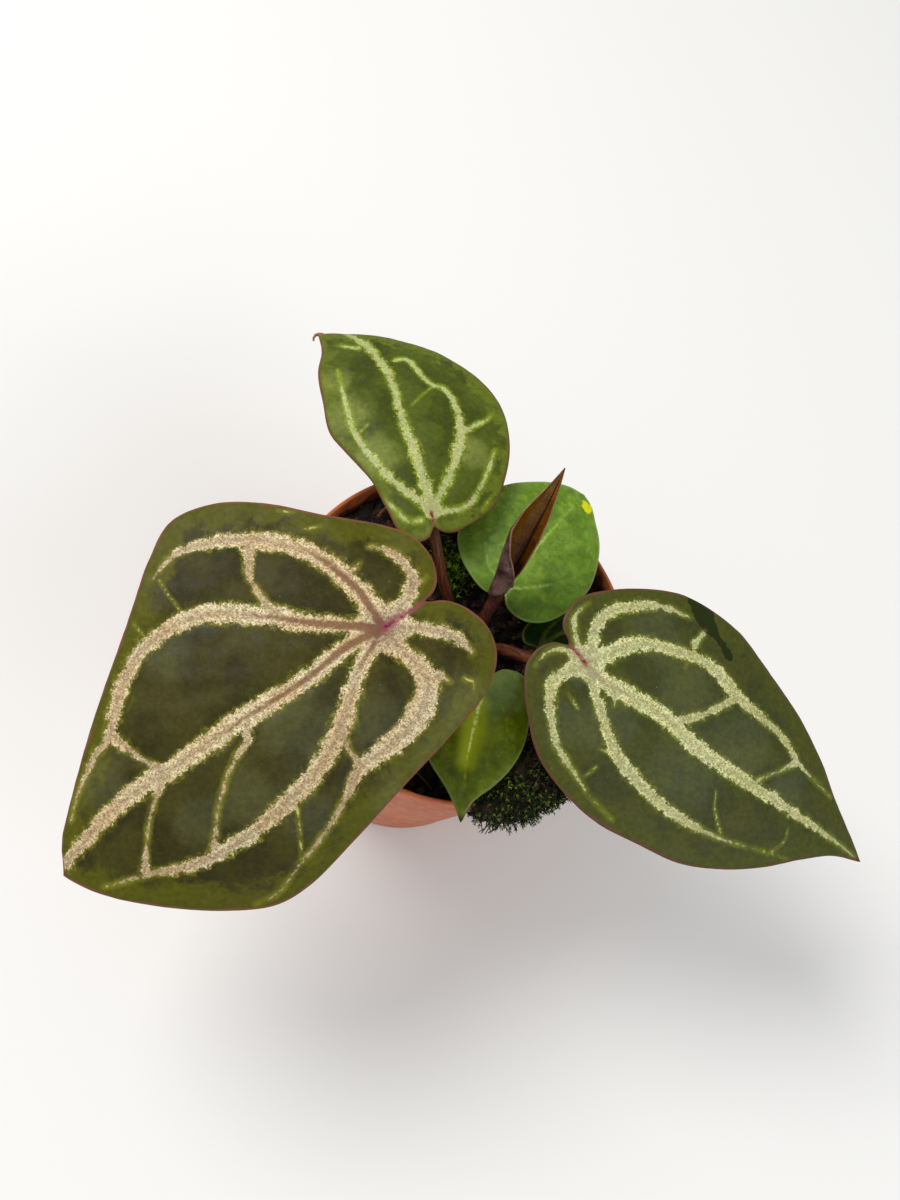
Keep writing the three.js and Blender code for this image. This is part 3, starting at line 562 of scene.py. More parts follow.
# a closed sheet under an open one of triangles, with a rounded rim; faces of the upper side
# take slot 0, the lower side slot 1
def thicken(surface, faces, thick, bulge):
    a, b, c = (surface[faces[:, k]] for k in range(3))
    flatNormals = np.cross(b - a, c - a)
    normals = np.zeros_like(surface)
    for k in range(3):
        np.add.at(normals, faces[:, k], flatNormals)
    normals /= np.linalg.norm(normals, axis=1)[:, None]
    below = surface - normals * np.reshape(thick, (-1, 1))
    sides = np.vstack([faces[:, [0, 1]], faces[:, [1, 2]], faces[:, [2, 0]]])
    twice = {(q, p) for p, q in map(tuple, sides)}
    border = [(p, q) for p, q in map(tuple, sides) if (p, q) not in twice]
    outward = {}
    for p, q in border:
        out = np.cross(surface[q] - surface[p], normals[p])
        for k in (p, q):
            outward[k] = outward.get(k, 0) + out
    count = len(surface)
    middle = {p: 2 * count + i for i, p in enumerate(outward)}
    rim = [(surface[p] + below[p]) / 2 + bulge * out / np.linalg.norm(out) for p, out in outward.items()]
    skirt = []
    for p, q in border:
        skirt += [(q, p, middle[p], middle[q]), (middle[q], middle[p], p + count, q + count)]
    allFaces = faces.tolist() + (faces[:, ::-1] + count).tolist() + [list(f) for f in skirt]
    slots = [0] * len(faces) + [1] * len(faces) + [0, 1] * len(border)
    return np.vstack([surface, below, rim]), allFaces, slots, list(outward)


# the upper side's values go to the lower side and the rim too
def storeSheet(piece, rimIds, values):
    for name, upper in values.items():
        upper = np.ravel(upper)
        storeValue(piece, name, np.concatenate([upper, upper, upper[rimIds]]))


# the triangles of an open grid of rows and columns
def gridFaces(rows, columns):
    faces = []
    for i in range(rows - 1):
        for j in range(columns - 1):
            a = i * columns + j
            faces += [(a, a + 1, a + 1 + columns), (a, a + 1 + columns, a + columns)]
    return np.array(faces)


# the four-sided faces of a wall of closed rings, one ring above another
def ringFaces(rings, segments, first=0, flipped=False):
    faces = []
    for i in range(rings):
        for j in range(segments):
            a = first + i * segments + j
            b = first + i * segments + (j + 1) % segments
            face = (a, b, b + segments, a + segments)
            faces.append((a, a + segments, b + segments, b) if flipped else face)
    return faces


# thickness and relief of the blades, in mm
blades = {
    "thick": 0.42, "ribThick": 0.42, "ribWidth": 0.85, "rimBulge": 0.16,
    "veinDepth": 0.3, "quiltReach": 2.6, "lineDepth": 0.12, "lineWidth": 0.5,
    "creaseDepth": 0.45, "creaseWidth": 0.45, "rimDrop": 0.2, "rimWidth": 0.7,
}


def makeBlade(name, leaf, top, under, slot, node):
    petiole, along, across, face, length = bladeAxes(leaf)
    loop, flat, faces = bladePoints(leaf)
    u, v = flat[:, 0], flat[:, 1]
    band = veinGaps(flat, leaf["bands"])
    hair = veinGaps(flat, leaf["hairs"])
    core = veinGaps(flat, leaf["cores"])
    ribs = veinGaps(flat, [{"line": vein["line"], "half": [0.0]} for vein in leaf["bands"]])
    rim, _ = distanceTo(flat, np.vstack([loop, loop[:1]]))
    sinus, _ = distanceTo(flat, np.array([leaf["crease"][0], leaf["crease"][1]], float))
    hub = np.hypot(u, v)

    # the height of the CAD blade, then quilting between the veins
    t = u / length
    height = 4 * leaf["bow"] * t * (1 - t) - np.where(v > 0, leaf["arch"][0], leaf["arch"][1]) * v ** 2
    waveHeight, waveCount = leaf["wave"]
    wave = np.sin(waveCount * np.arctan2(v, u) + 1)
    height += waveHeight * edgeShare(flat, loop, leaf["notch"]) ** 3 * wave
    clear = np.clip(band, 0, None)
    quilt = -blades["veinDepth"] + leaf["quilt"] * (1 - np.exp(-clear / blades["quiltReach"]))
    for gap in (core + 0.3, hair):
        quilt -= blades["lineDepth"] * np.exp(-(np.clip(gap, 0, None) / blades["lineWidth"]) ** 2)
    pucker = ripple(u, v, 3.2, leaf["seed"]) * 0.09 + ripple(u, v, 1.1, leaf["seed"] + 1) * 0.03
    quilt += pucker * smoothStep(clear, 0.2, 1.6) * leaf["quilt"] / 0.5
    quilt -= blades["creaseDepth"] * np.exp(-(sinus / blades["creaseWidth"]) ** 2)
    quilt -= blades["rimDrop"] * np.exp(-rim / blades["rimWidth"])
    height += quilt
    surface = petiole + np.outer(u, along) + np.outer(v, across) + np.outer(height, face)

    ridge = np.exp(-(ribs / blades["ribWidth"]) ** 2) * smoothStep(rim, 0.2, 2.5)
    thick = blades["thick"] + blades["ribThick"] * ridge
    verts, allFaces, slots, rimIds = thicken(surface, faces, thick, blades["rimBulge"])
    piece = makePiece(name, verts, allFaces, (top, under), slots)
    tip = np.hypot(u - leaf["leftEdge"][-1][0], v - leaf["leftEdge"][-1][1])
    # painted sheen: soft round spots where a grey bloom of reflected light is painted on the blade
    paintedSheen = np.zeros(len(flat))
    for spotU, spotV, reach in leaf["paintedSheenSpots"]:
        paintedSheen += np.exp(-(((u - spotU) ** 2 + (v - spotV) ** 2) / reach ** 2) ** 1.5)
    wet = veinGaps(flat, [leaf["wet"]] if "wet" in leaf else [])
    storeSheet(piece, rimIds, {
        "band": band, "hair": hair, "core": core, "rim": rim, "hub": hub, "sinus": sinus, "tip": tip,
        "rib": ribs, "paintedSheen": np.clip(paintedSheen, 0, 1), "wet": wet,
    })
    settle(piece, slot, node)


leftLeaf = {
    "petiole": (-24, -13.5, 102), "tip": (-82, -55, 70), "roll": -4, "bow": 7,
    "arch": (0.012, 0.003), "wave": (0.7, 7), "quilt": 0.65, "grid": 0.66, "seed": 4,
    "notch": [-9.6, 0.2],
    # spots of painted sheen, each u, v and reach in mm
    "paintedSheenSpots": [(24, 6, 8), (40, 11, 6), (12, 12, 6), (33, 20, 6), (-4, 21, 6), (6, 27, 6),
              (18, 30, 6), (60, -8, 6), (36, -21, 6), (50, 9, 5)],
    "crease": ((-0.4, 0.0), (-9.6, 0.3)),
    "leftEdge": [
        [-10.6, 1.1], [-12.4, 2.1], [-14.8, 5], [-16.5, 10.5], [-15, 16.5], [-9, 21.5], [2, 24.3],
        [14, 26.5], [30.5, 29.5], [42, 31], [49.5, 30], [58, 24.5], [69, 14], [75, 6.5], [78, 0.8],
    ],
    "rightEdge": [
        [-12.5, -0.6], [-14.5, -2.5], [-16, -6.5], [-15.5, -12], [-12.5, -17], [-4, -25.5], [4.5, -35],
        [12, -40.5], [20.5, -42.5], [28, -38.5], [37.5, -31], [51, -22], [66, -11], [74, -4.5], [78, 0.8],
    ],
    "bands": [
        {"line": [[0, 0], [7, -1], [18.5, -0.5], [32, -1.5], [45.5, -2], [59.5, -3], [71.5, -1.5], [77, -0.5]],
         "half": [1.5, 1.7, 1.9, 1.95, 1.9, 1.55, 1.0]},
        {"line": [[0, 0], [10.5, -9], [16, -14.5], [21.5, -19.5], [26.5, -23], [30.5, -24], [40, -24],
                  [48, -20], [54.5, -14.5], [58.5, -13.5], [67, -9], [70, -6.5]],
         "half": [0.8, 1.5, 1.8, 1.9, 1.9, 1.5, 1.35, 1.4, 0.8, 0.4, 0.2]},
        {"line": [[53.5, -14], [51, -6.5], [49, -2.5]], "half": [1.1, 0.55, 0.45, 0.9]},
        {"line": [[0, 0], [-0.5, -9.5], [2.5, -20.5], [9.5, -29], [17, -34], [24, -36], [30, -34.5]],
         "half": [0.9, 1.9, 2.0, 1.7, 1.7, 1.9, 1.4, 1.15, 0.6, 0.15]},
        {"line": [[11, -29], [14.5, -23.5], [15, -16.5], [14, -13]], "half": [1.5, 0.7, 0.5, 0.6, 1.4]},
        {"line": [[0, 0], [-9, -3], [-11, -6.5], [-9.5, -13], [-7.5, -15]],
         "half": [1.0, 1.5, 1.35, 1.1, 0.95, 0.7, 0.3]},
        {"line": [[-8.5, -3.7], [-10.8, -3.6], [-12.9, -3.5]], "half": [0.8, 0.5, 0.1]},
        {"line": [[-1, -12.5], [-4, -13.5]], "half": [0.9, 0.1]},
        {"line": [[-2, 1], [-8.5, 7], [-10.5, 10.5], [-11, 14]], "half": [1.0, 1.1, 1.35, 1.1, 0.3]},
        {"line": [[0, 0], [0, 4], [-1, 12], [0.5, 15], [8, 18.5], [16, 19], [19.5, 19], [25.5, 22], [33.5, 25],
                  [40, 26.5], [48, 28.5], [52, 27.5]],
         "half": [1.2, 1.7, 2.2, 2.4, 1.9, 1.5, 0.6, 0.4, 0.3, 0.2, 0.05]},
        {"line": [[-3, 14], [-4, 16]], "half": [0.9, 0.1]},
        {"line": [[0, 0], [8.5, 4], [16.5, 10], [24.5, 14], [33.5, 16], [43.5, 16.5], [54.5, 15], [63.5, 11],
                  [72.5, 7.5]],
         "half": [1.0, 1.5, 1.7, 1.8, 1.8, 1.6, 1.4, 1.3, 1.0, 0.4, 0.1]},
        {"line": [[31, -0.8], [33, 2], [38.5, 4.5], [45.5, 9.5], [50.5, 14.5]],
         "half": [1.3, 0.7, 0.35, 0.26, 0.28, 0.35, 0.7]},
        {"line": [[50, -1.6], [57, 3], [63.5, 9.5]], "half": [0.9, 0.32, 0.25, 0.28, 0.7]},
        {"line": [[18, 11.5], [19.2, 15], [19, 18.6]], "half": [1.1, 0.5, 0.35, 0.8]},
    ],
    "hairs": [
        {"line": [[29, -33.5], [29, -25.5]], "half": [0.12]},
        {"line": [[37.6, -29.5], [37.5, -24]], "half": [0.12, 0.08]},
        {"line": [[33, 17], [37, 23], [39.5, 26]], "half": [0.2, 0.15]},
        {"line": [[-6.6, 17.2], [-7.7, 18.7], [-6.8, 19.8]], "half": [0.4, 0.3, 0.1]},
        {"line": [[0.9, -25.5], [-0.8, -24.6], [-2.3, -24]], "half": [0.05, 0.2, 0.05]},
        {"line": [[2.8, -31.8], [1.4, -30.3], [0, -29.3]], "half": [0.05, 0.15, 0.05]},
    ],
    "cores": [
        {"line": [[0, 0], [7, -1], [18.5, -0.5], [32, -1.5], [45.5, -2]], "half": [0.9, 0.6, 0.4, 0.2, -0.3]},
        {"line": [[0, 0], [10.5, -9], [16, -14.5], [21.5, -19.5]], "half": [0.7, 0.8, 0.6, 0.3, -0.3]},
        {"line": [[0, 0], [-0.5, -9.5], [2.5, -20.5], [5, -24]], "half": [0.8, 0.7, 0.5, -0.2]},
        {"line": [[0, 0], [8.5, 4], [12, 7]], "half": [0.5, 0.2, -0.3]},
        {"line": [[-8.5, -2.9], [-10.8, -6]], "half": [-0.2, 0.2, -0.3]},
    ],
}
leftLook = {
    # the grey after the greens is painted sheen, a bloom of reflected light
    "green": colour(46, 43, 13), "greenOther": colour(61, 57, 17), "paintedSheen": colour(43, 48, 33),
    "paintedSheenShare": 0.9, "border": colour(78, 78, 12), "borderReach": 6.5,
    "net": colour(84, 84, 34), "netShare": 0.1, "netSize": 1.9,
    "fringe": colour(120, 120, 28), "fringeShare": 0.7, "fringeWidth": 1.0, "ragged": 1.0,
    "silver": colour(236, 222, 182), "silverDark": colour(138, 118, 78), "silverWarm": colour(246, 226, 210),
    "silverShare": 0.95, "hair": colour(190, 182, 104), "spine": colour(142, 116, 90), "spineShare": 0.55,
    "core": colour(112, 75, 46), "coreShare": 0.8,
    "hub": colour(102, 62, 60), "hubReach": 6.0, "hubShare": 0.6, "hubFill": 7.0,
    "crease": colour(74, 12, 34), "creasePale": colour(142, 66, 82), "creaseWidth": 1.0,
    "margin": colour(118, 74, 52), "tip": colour(96, 68, 26), "dust": colour(190, 190, 160),
    "water": colour(22, 34, 4), "gloss": 0.5, "shine": 0.13,
    "under": colour(112, 84, 62), "underOther": colour(96, 92, 56), "underVein": colour(164, 140, 112),
}

rightLeaf = {
    "petiole": (22.5, -13.5, 88), "tip": (93, -50, 66), "roll": 10, "bow": 4,
    "arch": (0.005, 0.005), "wave": (0.5, 6), "quilt": 0.5, "grid": 0.62, "seed": 9,
    "notch": [-4.6, 1.9],
    # spots of painted sheen, each u, v and reach in mm
    "paintedSheenSpots": [(22, 8, 8), (30, -8, 9), (40, 5, 8), (10, 15, 7), (12, -8, 6), (4, -13, 6), (55, 3, 5)],
    "crease": ((0.4, 0.1), (-4.6, 1.9)),
    "leftEdge": [
        [-5.6, 2.9], [-7.2, 4], [-8.5, 6.5], [-7.5, 12], [-2, 18], [3.5, 22], [12.5, 26.5], [22, 27.8],
        [30, 27.2], [39.5, 23.5], [51, 18.5], [61, 12.5], [71, 5.8], [78, 2.2], [82.4, 0],
    ],
    "rightEdge": [
        [-6, 1.2], [-8, 0.2], [-10, -2.5], [-10.5, -6], [-8.5, -11.5], [-5, -16], [2, -22], [10.5, -25.5],
        [19.5, -27], [30.5, -26], [40.5, -24.5], [49, -21], [58, -15.5], [66.5, -8.5], [74, -3.2], [82.4, 0],
    ],
    "bands": [
        {"line": [[0, 0], [5, -1], [14, -0.5], [22, -0.5], [31, -2], [48.5, -1.5], [67.5, -0.5], [81.5, 0]],
         "half": [1.5, 2.1, 1.9, 1.8, 1.7, 1.5, 1.2, 0.85, 0.45, 0.15]},
        {"line": [[0.5, 1], [8.5, 10.5], [15, 13.5], [25, 16], [34.5, 13.5], [47.5, 12], [55.5, 9],
                  [66.5, 7.5]],
         "half": [1.5, 1.9, 1.5, 1.3, 1.3, 1.8, 1.1, 0.8, 0.8, 0.3, 0.05]},
        {"line": [[0, 2], [-1.5, 9], [-0.5, 13], [8, 20.5], [16.5, 23]],
         "half": [1.2, 1.3, 1.3, 1.15, 0.95, 0.8, 0.6, 0.15]},
        {"line": [[-2.5, 1.9], [-6.3, 6.6], [-6.6, 9], [-5.1, 12.3]], "half": [0.5, 0.45, 0.45, 0.3, 0.05]},
        {"line": [[34.5, 13.5], [28.5, 5.5], [24.5, 1]], "half": [1.1, 0.7, 0.7, 1.0]},
        {"line": [[1, -0.5], [8, -7], [15.5, -13], [26.5, -16], [37.5, -16.5], [47, -15], [57, -12]],
         "half": [0.8, 1.1, 1.1, 1.2, 1.25, 1.2, 1.1, 0.8, 0.3, 0.15, 0.05]},
        {"line": [[0.1, -0.8], [-1.2, -1.9], [-4.1, -6], [-2.5, -10.9], [-0.4, -13.8], [3.6, -17.9],
                  [9.5, -20.8], [13.6, -22.7], [17.8, -24], [22.1, -24.9]],
         "half": [0.7, 1.1, 1.3, 1.2, 0.7, 0.7, 0.6, 0.35, 0.2, 0.12, 0.05]},
        {"line": [[20, 18], [21, 22.4]], "half": [0.9, 0.4, 0.55]},
        {"line": [[54.5, 9], [47, 0]], "half": [0.8, 0.3, 0.25, 0.5]},
        {"line": [[-2.3, 0.2], [-5.3, 0.3], [-8.2, -2.5], [-8.7, -5.9]], "half": [0.5, 0.45, 0.4, 0.3, 0.1]},
        {"line": [[8.5, -2], [9.8, -4.6]], "half": [0.5, 0.35, 0.05]},
    ],
    "hairs": [
        {"line": [[39, -7.5], [41, -11], [45.5, -14.5]], "half": [0.05, 0.12, 0.2]},
        {"line": [[-0.3, -7.5], [3.2, -9.3]], "half": [0.0, 0.2, 0.1]},
        {"line": [[11.5, -14], [14.5, -13.5]], "half": [0.1]},
        {"line": [[12, -20.5], [13, -17.5]], "half": [0.1]},
        {"line": [[20, 12], [20.4, 18]], "half": [0.12, 0.0]},
        {"line": [[58, -12], [60, -8], [59.5, -5]], "half": [0.2, 0.1, 0.05]},
        {"line": [[57, -12], [63, -10.4]], "half": [0.15, 0.0, 0.15]},
    ],
    "cores": [
        {"line": [[0, 0], [5, -1], [14, -0.5], [22, -0.5]], "half": [0.6, 0.25, 0.0, -0.3]},
    ],
    "wet": {"line": [[17.5, 28], [20.5, 24.5], [25, 22.5], [28.6, 20.4]], "half": [3.6, 2.3, 0.8, 1.0]},
}
rightLook = dict(leftLook, **{
    # the grey after the greens is painted sheen, a bloom of reflected light
    "green": colour(54, 58, 25), "greenOther": colour(64, 67, 22), "paintedSheen": colour(44, 48, 38),
    "paintedSheenShare": 0.65, "border": colour(66, 70, 20), "borderReach": 5.5,
    "net": colour(76, 84, 40), "netShare": 0.1, "netSize": 1.7,
    "fringe": colour(108, 118, 30), "fringeShare": 0.65, "ragged": 0.9,
    "silver": colour(228, 226, 172), "silverDark": colour(126, 128, 76), "silverWarm": colour(246, 244, 214),
    "spine": colour(146, 146, 104), "spineShare": 0.55,
    "hair": colour(188, 190, 110), "core": colour(138, 112, 84), "coreShare": 0.5,
    "hub": colour(142, 136, 108), "hubReach": 5.0, "hubShare": 0.5, "hubFill": 5.0,
    "crease": colour(84, 20, 26), "creasePale": colour(140, 66, 66), "creaseWidth": 0.7,
    "margin": colour(96, 64, 46), "tip": colour(84, 44, 30),
    "under": colour(110, 92, 62), "underOther": colour(94, 98, 58),
})

topLeaf = {
    "petiole": (-9.5, 21, 87), "tip": (-32, 70.5, 76), "roll": -8, "bow": 5,
    "arch": (0.014, 0.006), "wave": (0.5, 5), "quilt": 0.5, "grid": 0.6, "seed": 15,
    "notch": [-3.2, 1.0],
    # spots of painted sheen, each u, v and reach in mm
    "paintedSheenSpots": [(16, 5, 5), (28, 6, 5), (38, 4, 4), (20, 16, 4), (8, -15, 4)],
    "crease": ((-0.4, 0.4), (-3.2, 1.0)),
    "leftEdge": [
        [-3.8, 2.0], [-5, 3.5], [-4.5, 6], [-1, 8.5], [4, 8.6], [11.5, 8.7], [18.5, 10.2], [26.5, 11.5],
        [34, 9.4], [42.5, 6.6], [49, 2.6], [55.5, 0.5],
    ],
    "rightEdge": [
        [-4.4, 0.2], [-6, -2.5], [-6, -6], [-4, -13], [1, -19], [8, -24], [17.5, -27], [26.5, -26],
        [36.5, -21.5], [44, -15], [50.5, -7.5], [55.5, 0.5],
    ],
    "bands": [
        {"line": [[0, 0], [5, -1], [12, -2.5], [21, -4], [37, -7.5], [48, -6.5], [52, -5]],
         "half": [1.3, 1.15, 1.05, 0.9, 0.8, 0.8, 0.9, 0.9, 0.4]},
        {"line": [[0, 0], [6.5, -8.5], [15.5, -15.5], [25.5, -17], [28.5, -14.5], [37.5, -13], [38, -10.5]],
         "half": [0.8, 0.8, 0.8, 1.2, 0.9, 0.65, 0.55, 0.4, 0.55, 0.35]},
        {"line": [[-0.5, 0.5], [-2, -7], [1, -13], [7.5, -20]],
         "half": [0.9, 0.55, 0.45, 0.45, 0.3, 0.4, 0.1]},
        {"line": [[0.5, 0.5], [10, 5], [22.5, 7], [32, 5], [41, 2.5]],
         "half": [0.9, 0.8, 0.75, 0.65, 0.55, 0.55, 0.3, 0.1]},
        {"line": [[14, -15], [15, -22], [16, -23.5]], "half": [0.9, 0.4, 0.35, 0.1]},
        {"line": [[6.5, 8.1], [3.2, 7.1], [0, 5.9], [-0.9, 3.2]], "half": [0.12, 0.25, 0.35, 0.35, 0.3]},
        {"line": [[45.5, -5], [49, -1]], "half": [0.6, 0.4, 0.1]},
    ],
    "hairs": [
        {"line": [[27.5, -15], [24, -7.5]], "half": [0.05]},
        {"line": [[-4, -10.3], [-2.2, -13.3], [-1.4, -15]], "half": [0.0, 0.15, 0.0]},
        {"line": [[22.5, 7], [23.5, 3.5]], "half": [0.15, 0.0]},
    ],
    "cores": [{"line": [[-0.5, 0.3], [1.2, -0.2]], "half": [0.3, -0.2]}],
}
topLook = dict(leftLook, **{
    # the grey after the greens is painted sheen, a bloom of reflected light
    "green": colour(58, 68, 14), "greenOther": colour(74, 86, 20), "paintedSheen": colour(84, 87, 44),
    "paintedSheenShare": 1.0, "border": colour(90, 102, 26), "borderReach": 3.5,
    "net": colour(88, 104, 38), "netShare": 0.1, "netSize": 1.6,
    "fringe": colour(128, 148, 30), "fringeShare": 0.8, "fringeWidth": 0.9, "ragged": 1.05,
    "silver": colour(214, 213, 140), "silverDark": colour(134, 142, 74), "silverWarm": colour(234, 238, 226),
    "spine": colour(170, 176, 134), "spineShare": 0.5,
    "silverShare": 0.88, "hair": colour(170, 184, 80), "core": colour(140, 90, 78), "coreShare": 0.8,
    "hub": colour(146, 140, 100), "hubReach": 3.0, "hubShare": 0.4, "hubFill": 2.5,
    "crease": colour(84, 28, 24), "creasePale": colour(128, 70, 56), "creaseWidth": 0.55,
    "margin": colour(104, 76, 40), "tip": colour(150, 96, 30),
    "under": colour(104, 104, 60), "underOther": colour(92, 108, 56), "underVein": colour(158, 160, 110),
})

roundLeaf = {
    "petiole": (9.5, 7.5, 78), "tip": (30.5, 32, 80), "roll": 0, "bow": 2,
    "arch": (0.004, 0.004), "wave": (0.3, 4), "quilt": 0.3, "grid": 0.6, "seed": 21,
    "notch": [-1.2, 0], "paintedSheenSpots": [], "crease": ((0, 0), (-1.2, 0)),
    "leftEdge": [
        [-1.6, 0.6], [-3.4, 3], [-3, 8], [-0.5, 13.5], [3.5, 17], [8, 18.2], [14, 17.8], [19, 16],
        [23.5, 12.4], [27.5, 8], [29.5, 4.5], [30.3, 1],
    ],
    "rightEdge": [
        [-1.6, -0.6], [-3.2, -2.5], [-3, -7.5], [-0.5, -11], [4, -13.2], [9, -14], [14, -13.5],
        [22, -9.6], [26.5, -5], [29.2, -1.8], [30.3, 1],
    ],
    "bands": [
        {"line": [[0, 0], [8, 0.8], [14.7, 1.1], [21.2, 1.2], [27, 1]], "half": [0.1, 0.15, 0.2, 0.12, 0.0]},
        {"line": [[0, 0], [3.2, -3.5], [7, -6.8]], "half": [0.15, 0.25, 0.2, 0.05]},
        {"line": [[0, 0.5], [1, 6], [5, 11]], "half": [0.1, 0.1, 0.0]},
    ],
    "hairs": [
        {"line": [[7, -6.8], [13, -9.5]], "half": [0.05, -0.2]},
        {"line": [[0, 0], [7, 4.5], [14, 8]], "half": [0.05, 0.0, -0.2]},
    ],
    "cores": [{"line": [[0, 0], [0.6, 0]], "half": [0.0]}],
}
frontLeaf = {
    "petiole": (4, -14.5, 78), "tip": (-2.5, -44.5, 73), "roll": 0, "bow": 3,
    "arch": (0.008, 0.008), "wave": (0.3, 3), "quilt": 0.35, "grid": 0.6, "seed": 27,
    "notch": [-1.2, 0], "paintedSheenSpots": [], "crease": ((0, 0), (-1.2, 0)),
    "leftEdge": [
        [-1.8, 0.8], [-3.5, 3], [-3.5, 7], [-1, 9], [3, 9.9], [10.5, 10], [15, 9], [18.5, 7.5],
        [22.5, 4.8], [26.5, 1.4], [31, 0],
    ],
    "rightEdge": [
        [-1.8, -0.8], [-3.5, -3], [-3, -7], [0.5, -10], [6, -11.8], [12, -12.3], [17, -11.3],
        [20.5, -9.2], [25.5, -4.2], [28.5, -1.8], [31, 0],
    ],
    "bands": [
        {"line": [[0, 0], [2.6, -0.9], [6.9, -1.4], [15.3, -1.9], [20.1, -1.7], [25, -1]],
         "half": [0.3, 0.28, 0.25, 0.16, -0.1, -0.35]},
        {"line": [[1, 0], [7, 4.5], [14, 5.5], [20, 3]], "half": [-0.35, -0.3, -0.45]},
        {"line": [[1, -1], [6, -6.5], [13, -8], [20, -5]], "half": [-0.35, -0.3, -0.45]},
    ],
    "hairs": [{"line": [[0, 0], [1, 0]], "half": [-0.2]}],
    "cores": [{"line": [[5, -1.5], [12, -1.9], [18.5, -2]], "half": [0.6, 1.8, 1.0]}],
}
smallLeaf = {
    "petiole": (20, -1, 66), "tip": (36.5, 8.5, 67), "roll": 0, "bow": 1,
    "arch": (0.01, 0.01), "wave": (0.2, 3), "quilt": 0.25, "grid": 0.6, "seed": 33,
    "notch": [-0.8, 0], "paintedSheenSpots": [], "crease": ((0, 0), (-0.8, 0)),
    "leftEdge": [[-1.2, 0.5], [-2.6, 2.4], [-1.5, 4.8], [2.2, 6.2], [7, 5.8], [12, 3.8], [15.5, 1.6],
                 [17.8, 0]],
    "rightEdge": [[-1.2, -0.5], [-2.4, -2.4], [-1, -4.5], [2.6, -5.8], [7, -5.4], [12, -3.5], [15.5, -1.4],
                  [17.8, 0]],
    "bands": [{"line": [[0, 0], [9, 0], [17, 0]], "half": [0.15, 0.1, -0.1]},
              {"line": [[0, 0], [4, 2.4], [8, 3]], "half": [0.0, 0.05, -0.1]}],
    "hairs": [{"line": [[0, 0], [4, -2.4], [8, -3]], "half": [0.0, -0.1]}],
    "cores": [{"line": [[0, 0], [0.6, 0]], "half": [-0.2]}],
}


# young leaves: plain green, mottled, with faint lime veins
def youngLeafTop(name, look):
    material, tree, surface = startMaterial(name, Roughness=look["gloss"], Specular_IOR_Level=0.15)
    net = useGroup(tree, leafNet, {"Net Size": 2.4, "Skin Size": 0.35}).outputs
    rim = attribute(tree, "rim")
    patch = ease(tree, noise(tree, 8, 3, 0.55), 0.35, 0.68)
    green = blendColour(tree, patch, look["green"], look["greenOther"])
    dark = ease(tree, noise(tree, 2.6, 4, 0.62, warp=0.6), 0.3, 0.72, 0.72, 1.2)
    green = blendColour(tree, 1.0, green, dark, "MULTIPLY")
    blotch = times(tree, ease(tree, noise(tree, 3.6, 2, 0.5), 0.6, 0.74), look["blotchShare"])
    green = blendColour(tree, blotch, green, look["blotch"])
    green = blendColour(tree, times(tree, net["Net"], look["netShare"]), green, look["net"])
    # painted sheen: a pale bluish bloom of reflected light painted near the petiole
    upper = frayed(tree, attribute(tree, "hub"), 3, 3, 2)
    green = blendColour(tree, times(tree, ease(tree, upper, 11, 4), look["paintedHubSheenShare"]), green,
                        look["upper"])
    glow = times(tree, ease(tree, attribute(tree, "core"), 2.6, -1.2), look["glowShare"])
    green = blendColour(tree, glow, green, look["glow"])
    vein = frayed(tree, attribute(tree, "band"), 0.8, 0.35)
    green = blendColour(tree, times(tree, ease(tree, vein, 0.7, 0.0), 0.45), green, look["glow"])
    shadow = ease(tree, noise(tree, 5.5, 3, 0.6, warp=0.7), 0.5, 0.68, 1.0, 0.82)
    green = blendColour(tree, 1.0, green, shadow, "MULTIPLY")
    green = blendColour(tree, times(tree, ease(tree, vein, 0.2, -0.1), look["veinShare"]),
                        green, look["vein"])
    green = blendColour(tree, ease(tree, rim, 0.5, 0.2), green, look["margin"])
    green = blendColour(tree, ease(tree, attribute(tree, "tip"), look["tipReach"], 0.3), green, look["tip"])
    specks = useGroup(tree, dustSpecks, {"Spacing": 3.0, "Size": 0.06}).outputs["Mask"]
    green = blendColour(tree, times(tree, specks, 0.6), green, look["dust"])
    if "spot" in look:
        away = addNode(tree, "ShaderNodeVectorMath", operation="DISTANCE", links={0: place(tree)})
        away.inputs[1].default_value = [k * mm for k in look["spot"]]
        gap = frayed(tree, times(tree, away.outputs["Value"], 1 / mm), 1.2, 1.4)
        green = blendColour(tree, ease(tree, gap, 1.9, 0.9), green, look["spotColour"])
    rough = ease(tree, noise(tree, 3, 3, 0.6), 0.25, 0.75, look["gloss"] - 0.08, look["gloss"] + 0.08)
    paint(tree, surface, green, rough)
    skin = bump(tree, None, net["Skin"], 0.05, 0.4)
    bump(tree, surface, noise(tree, 1.8, 3, 0.6), 0.12, 0.5, skin)
    return material


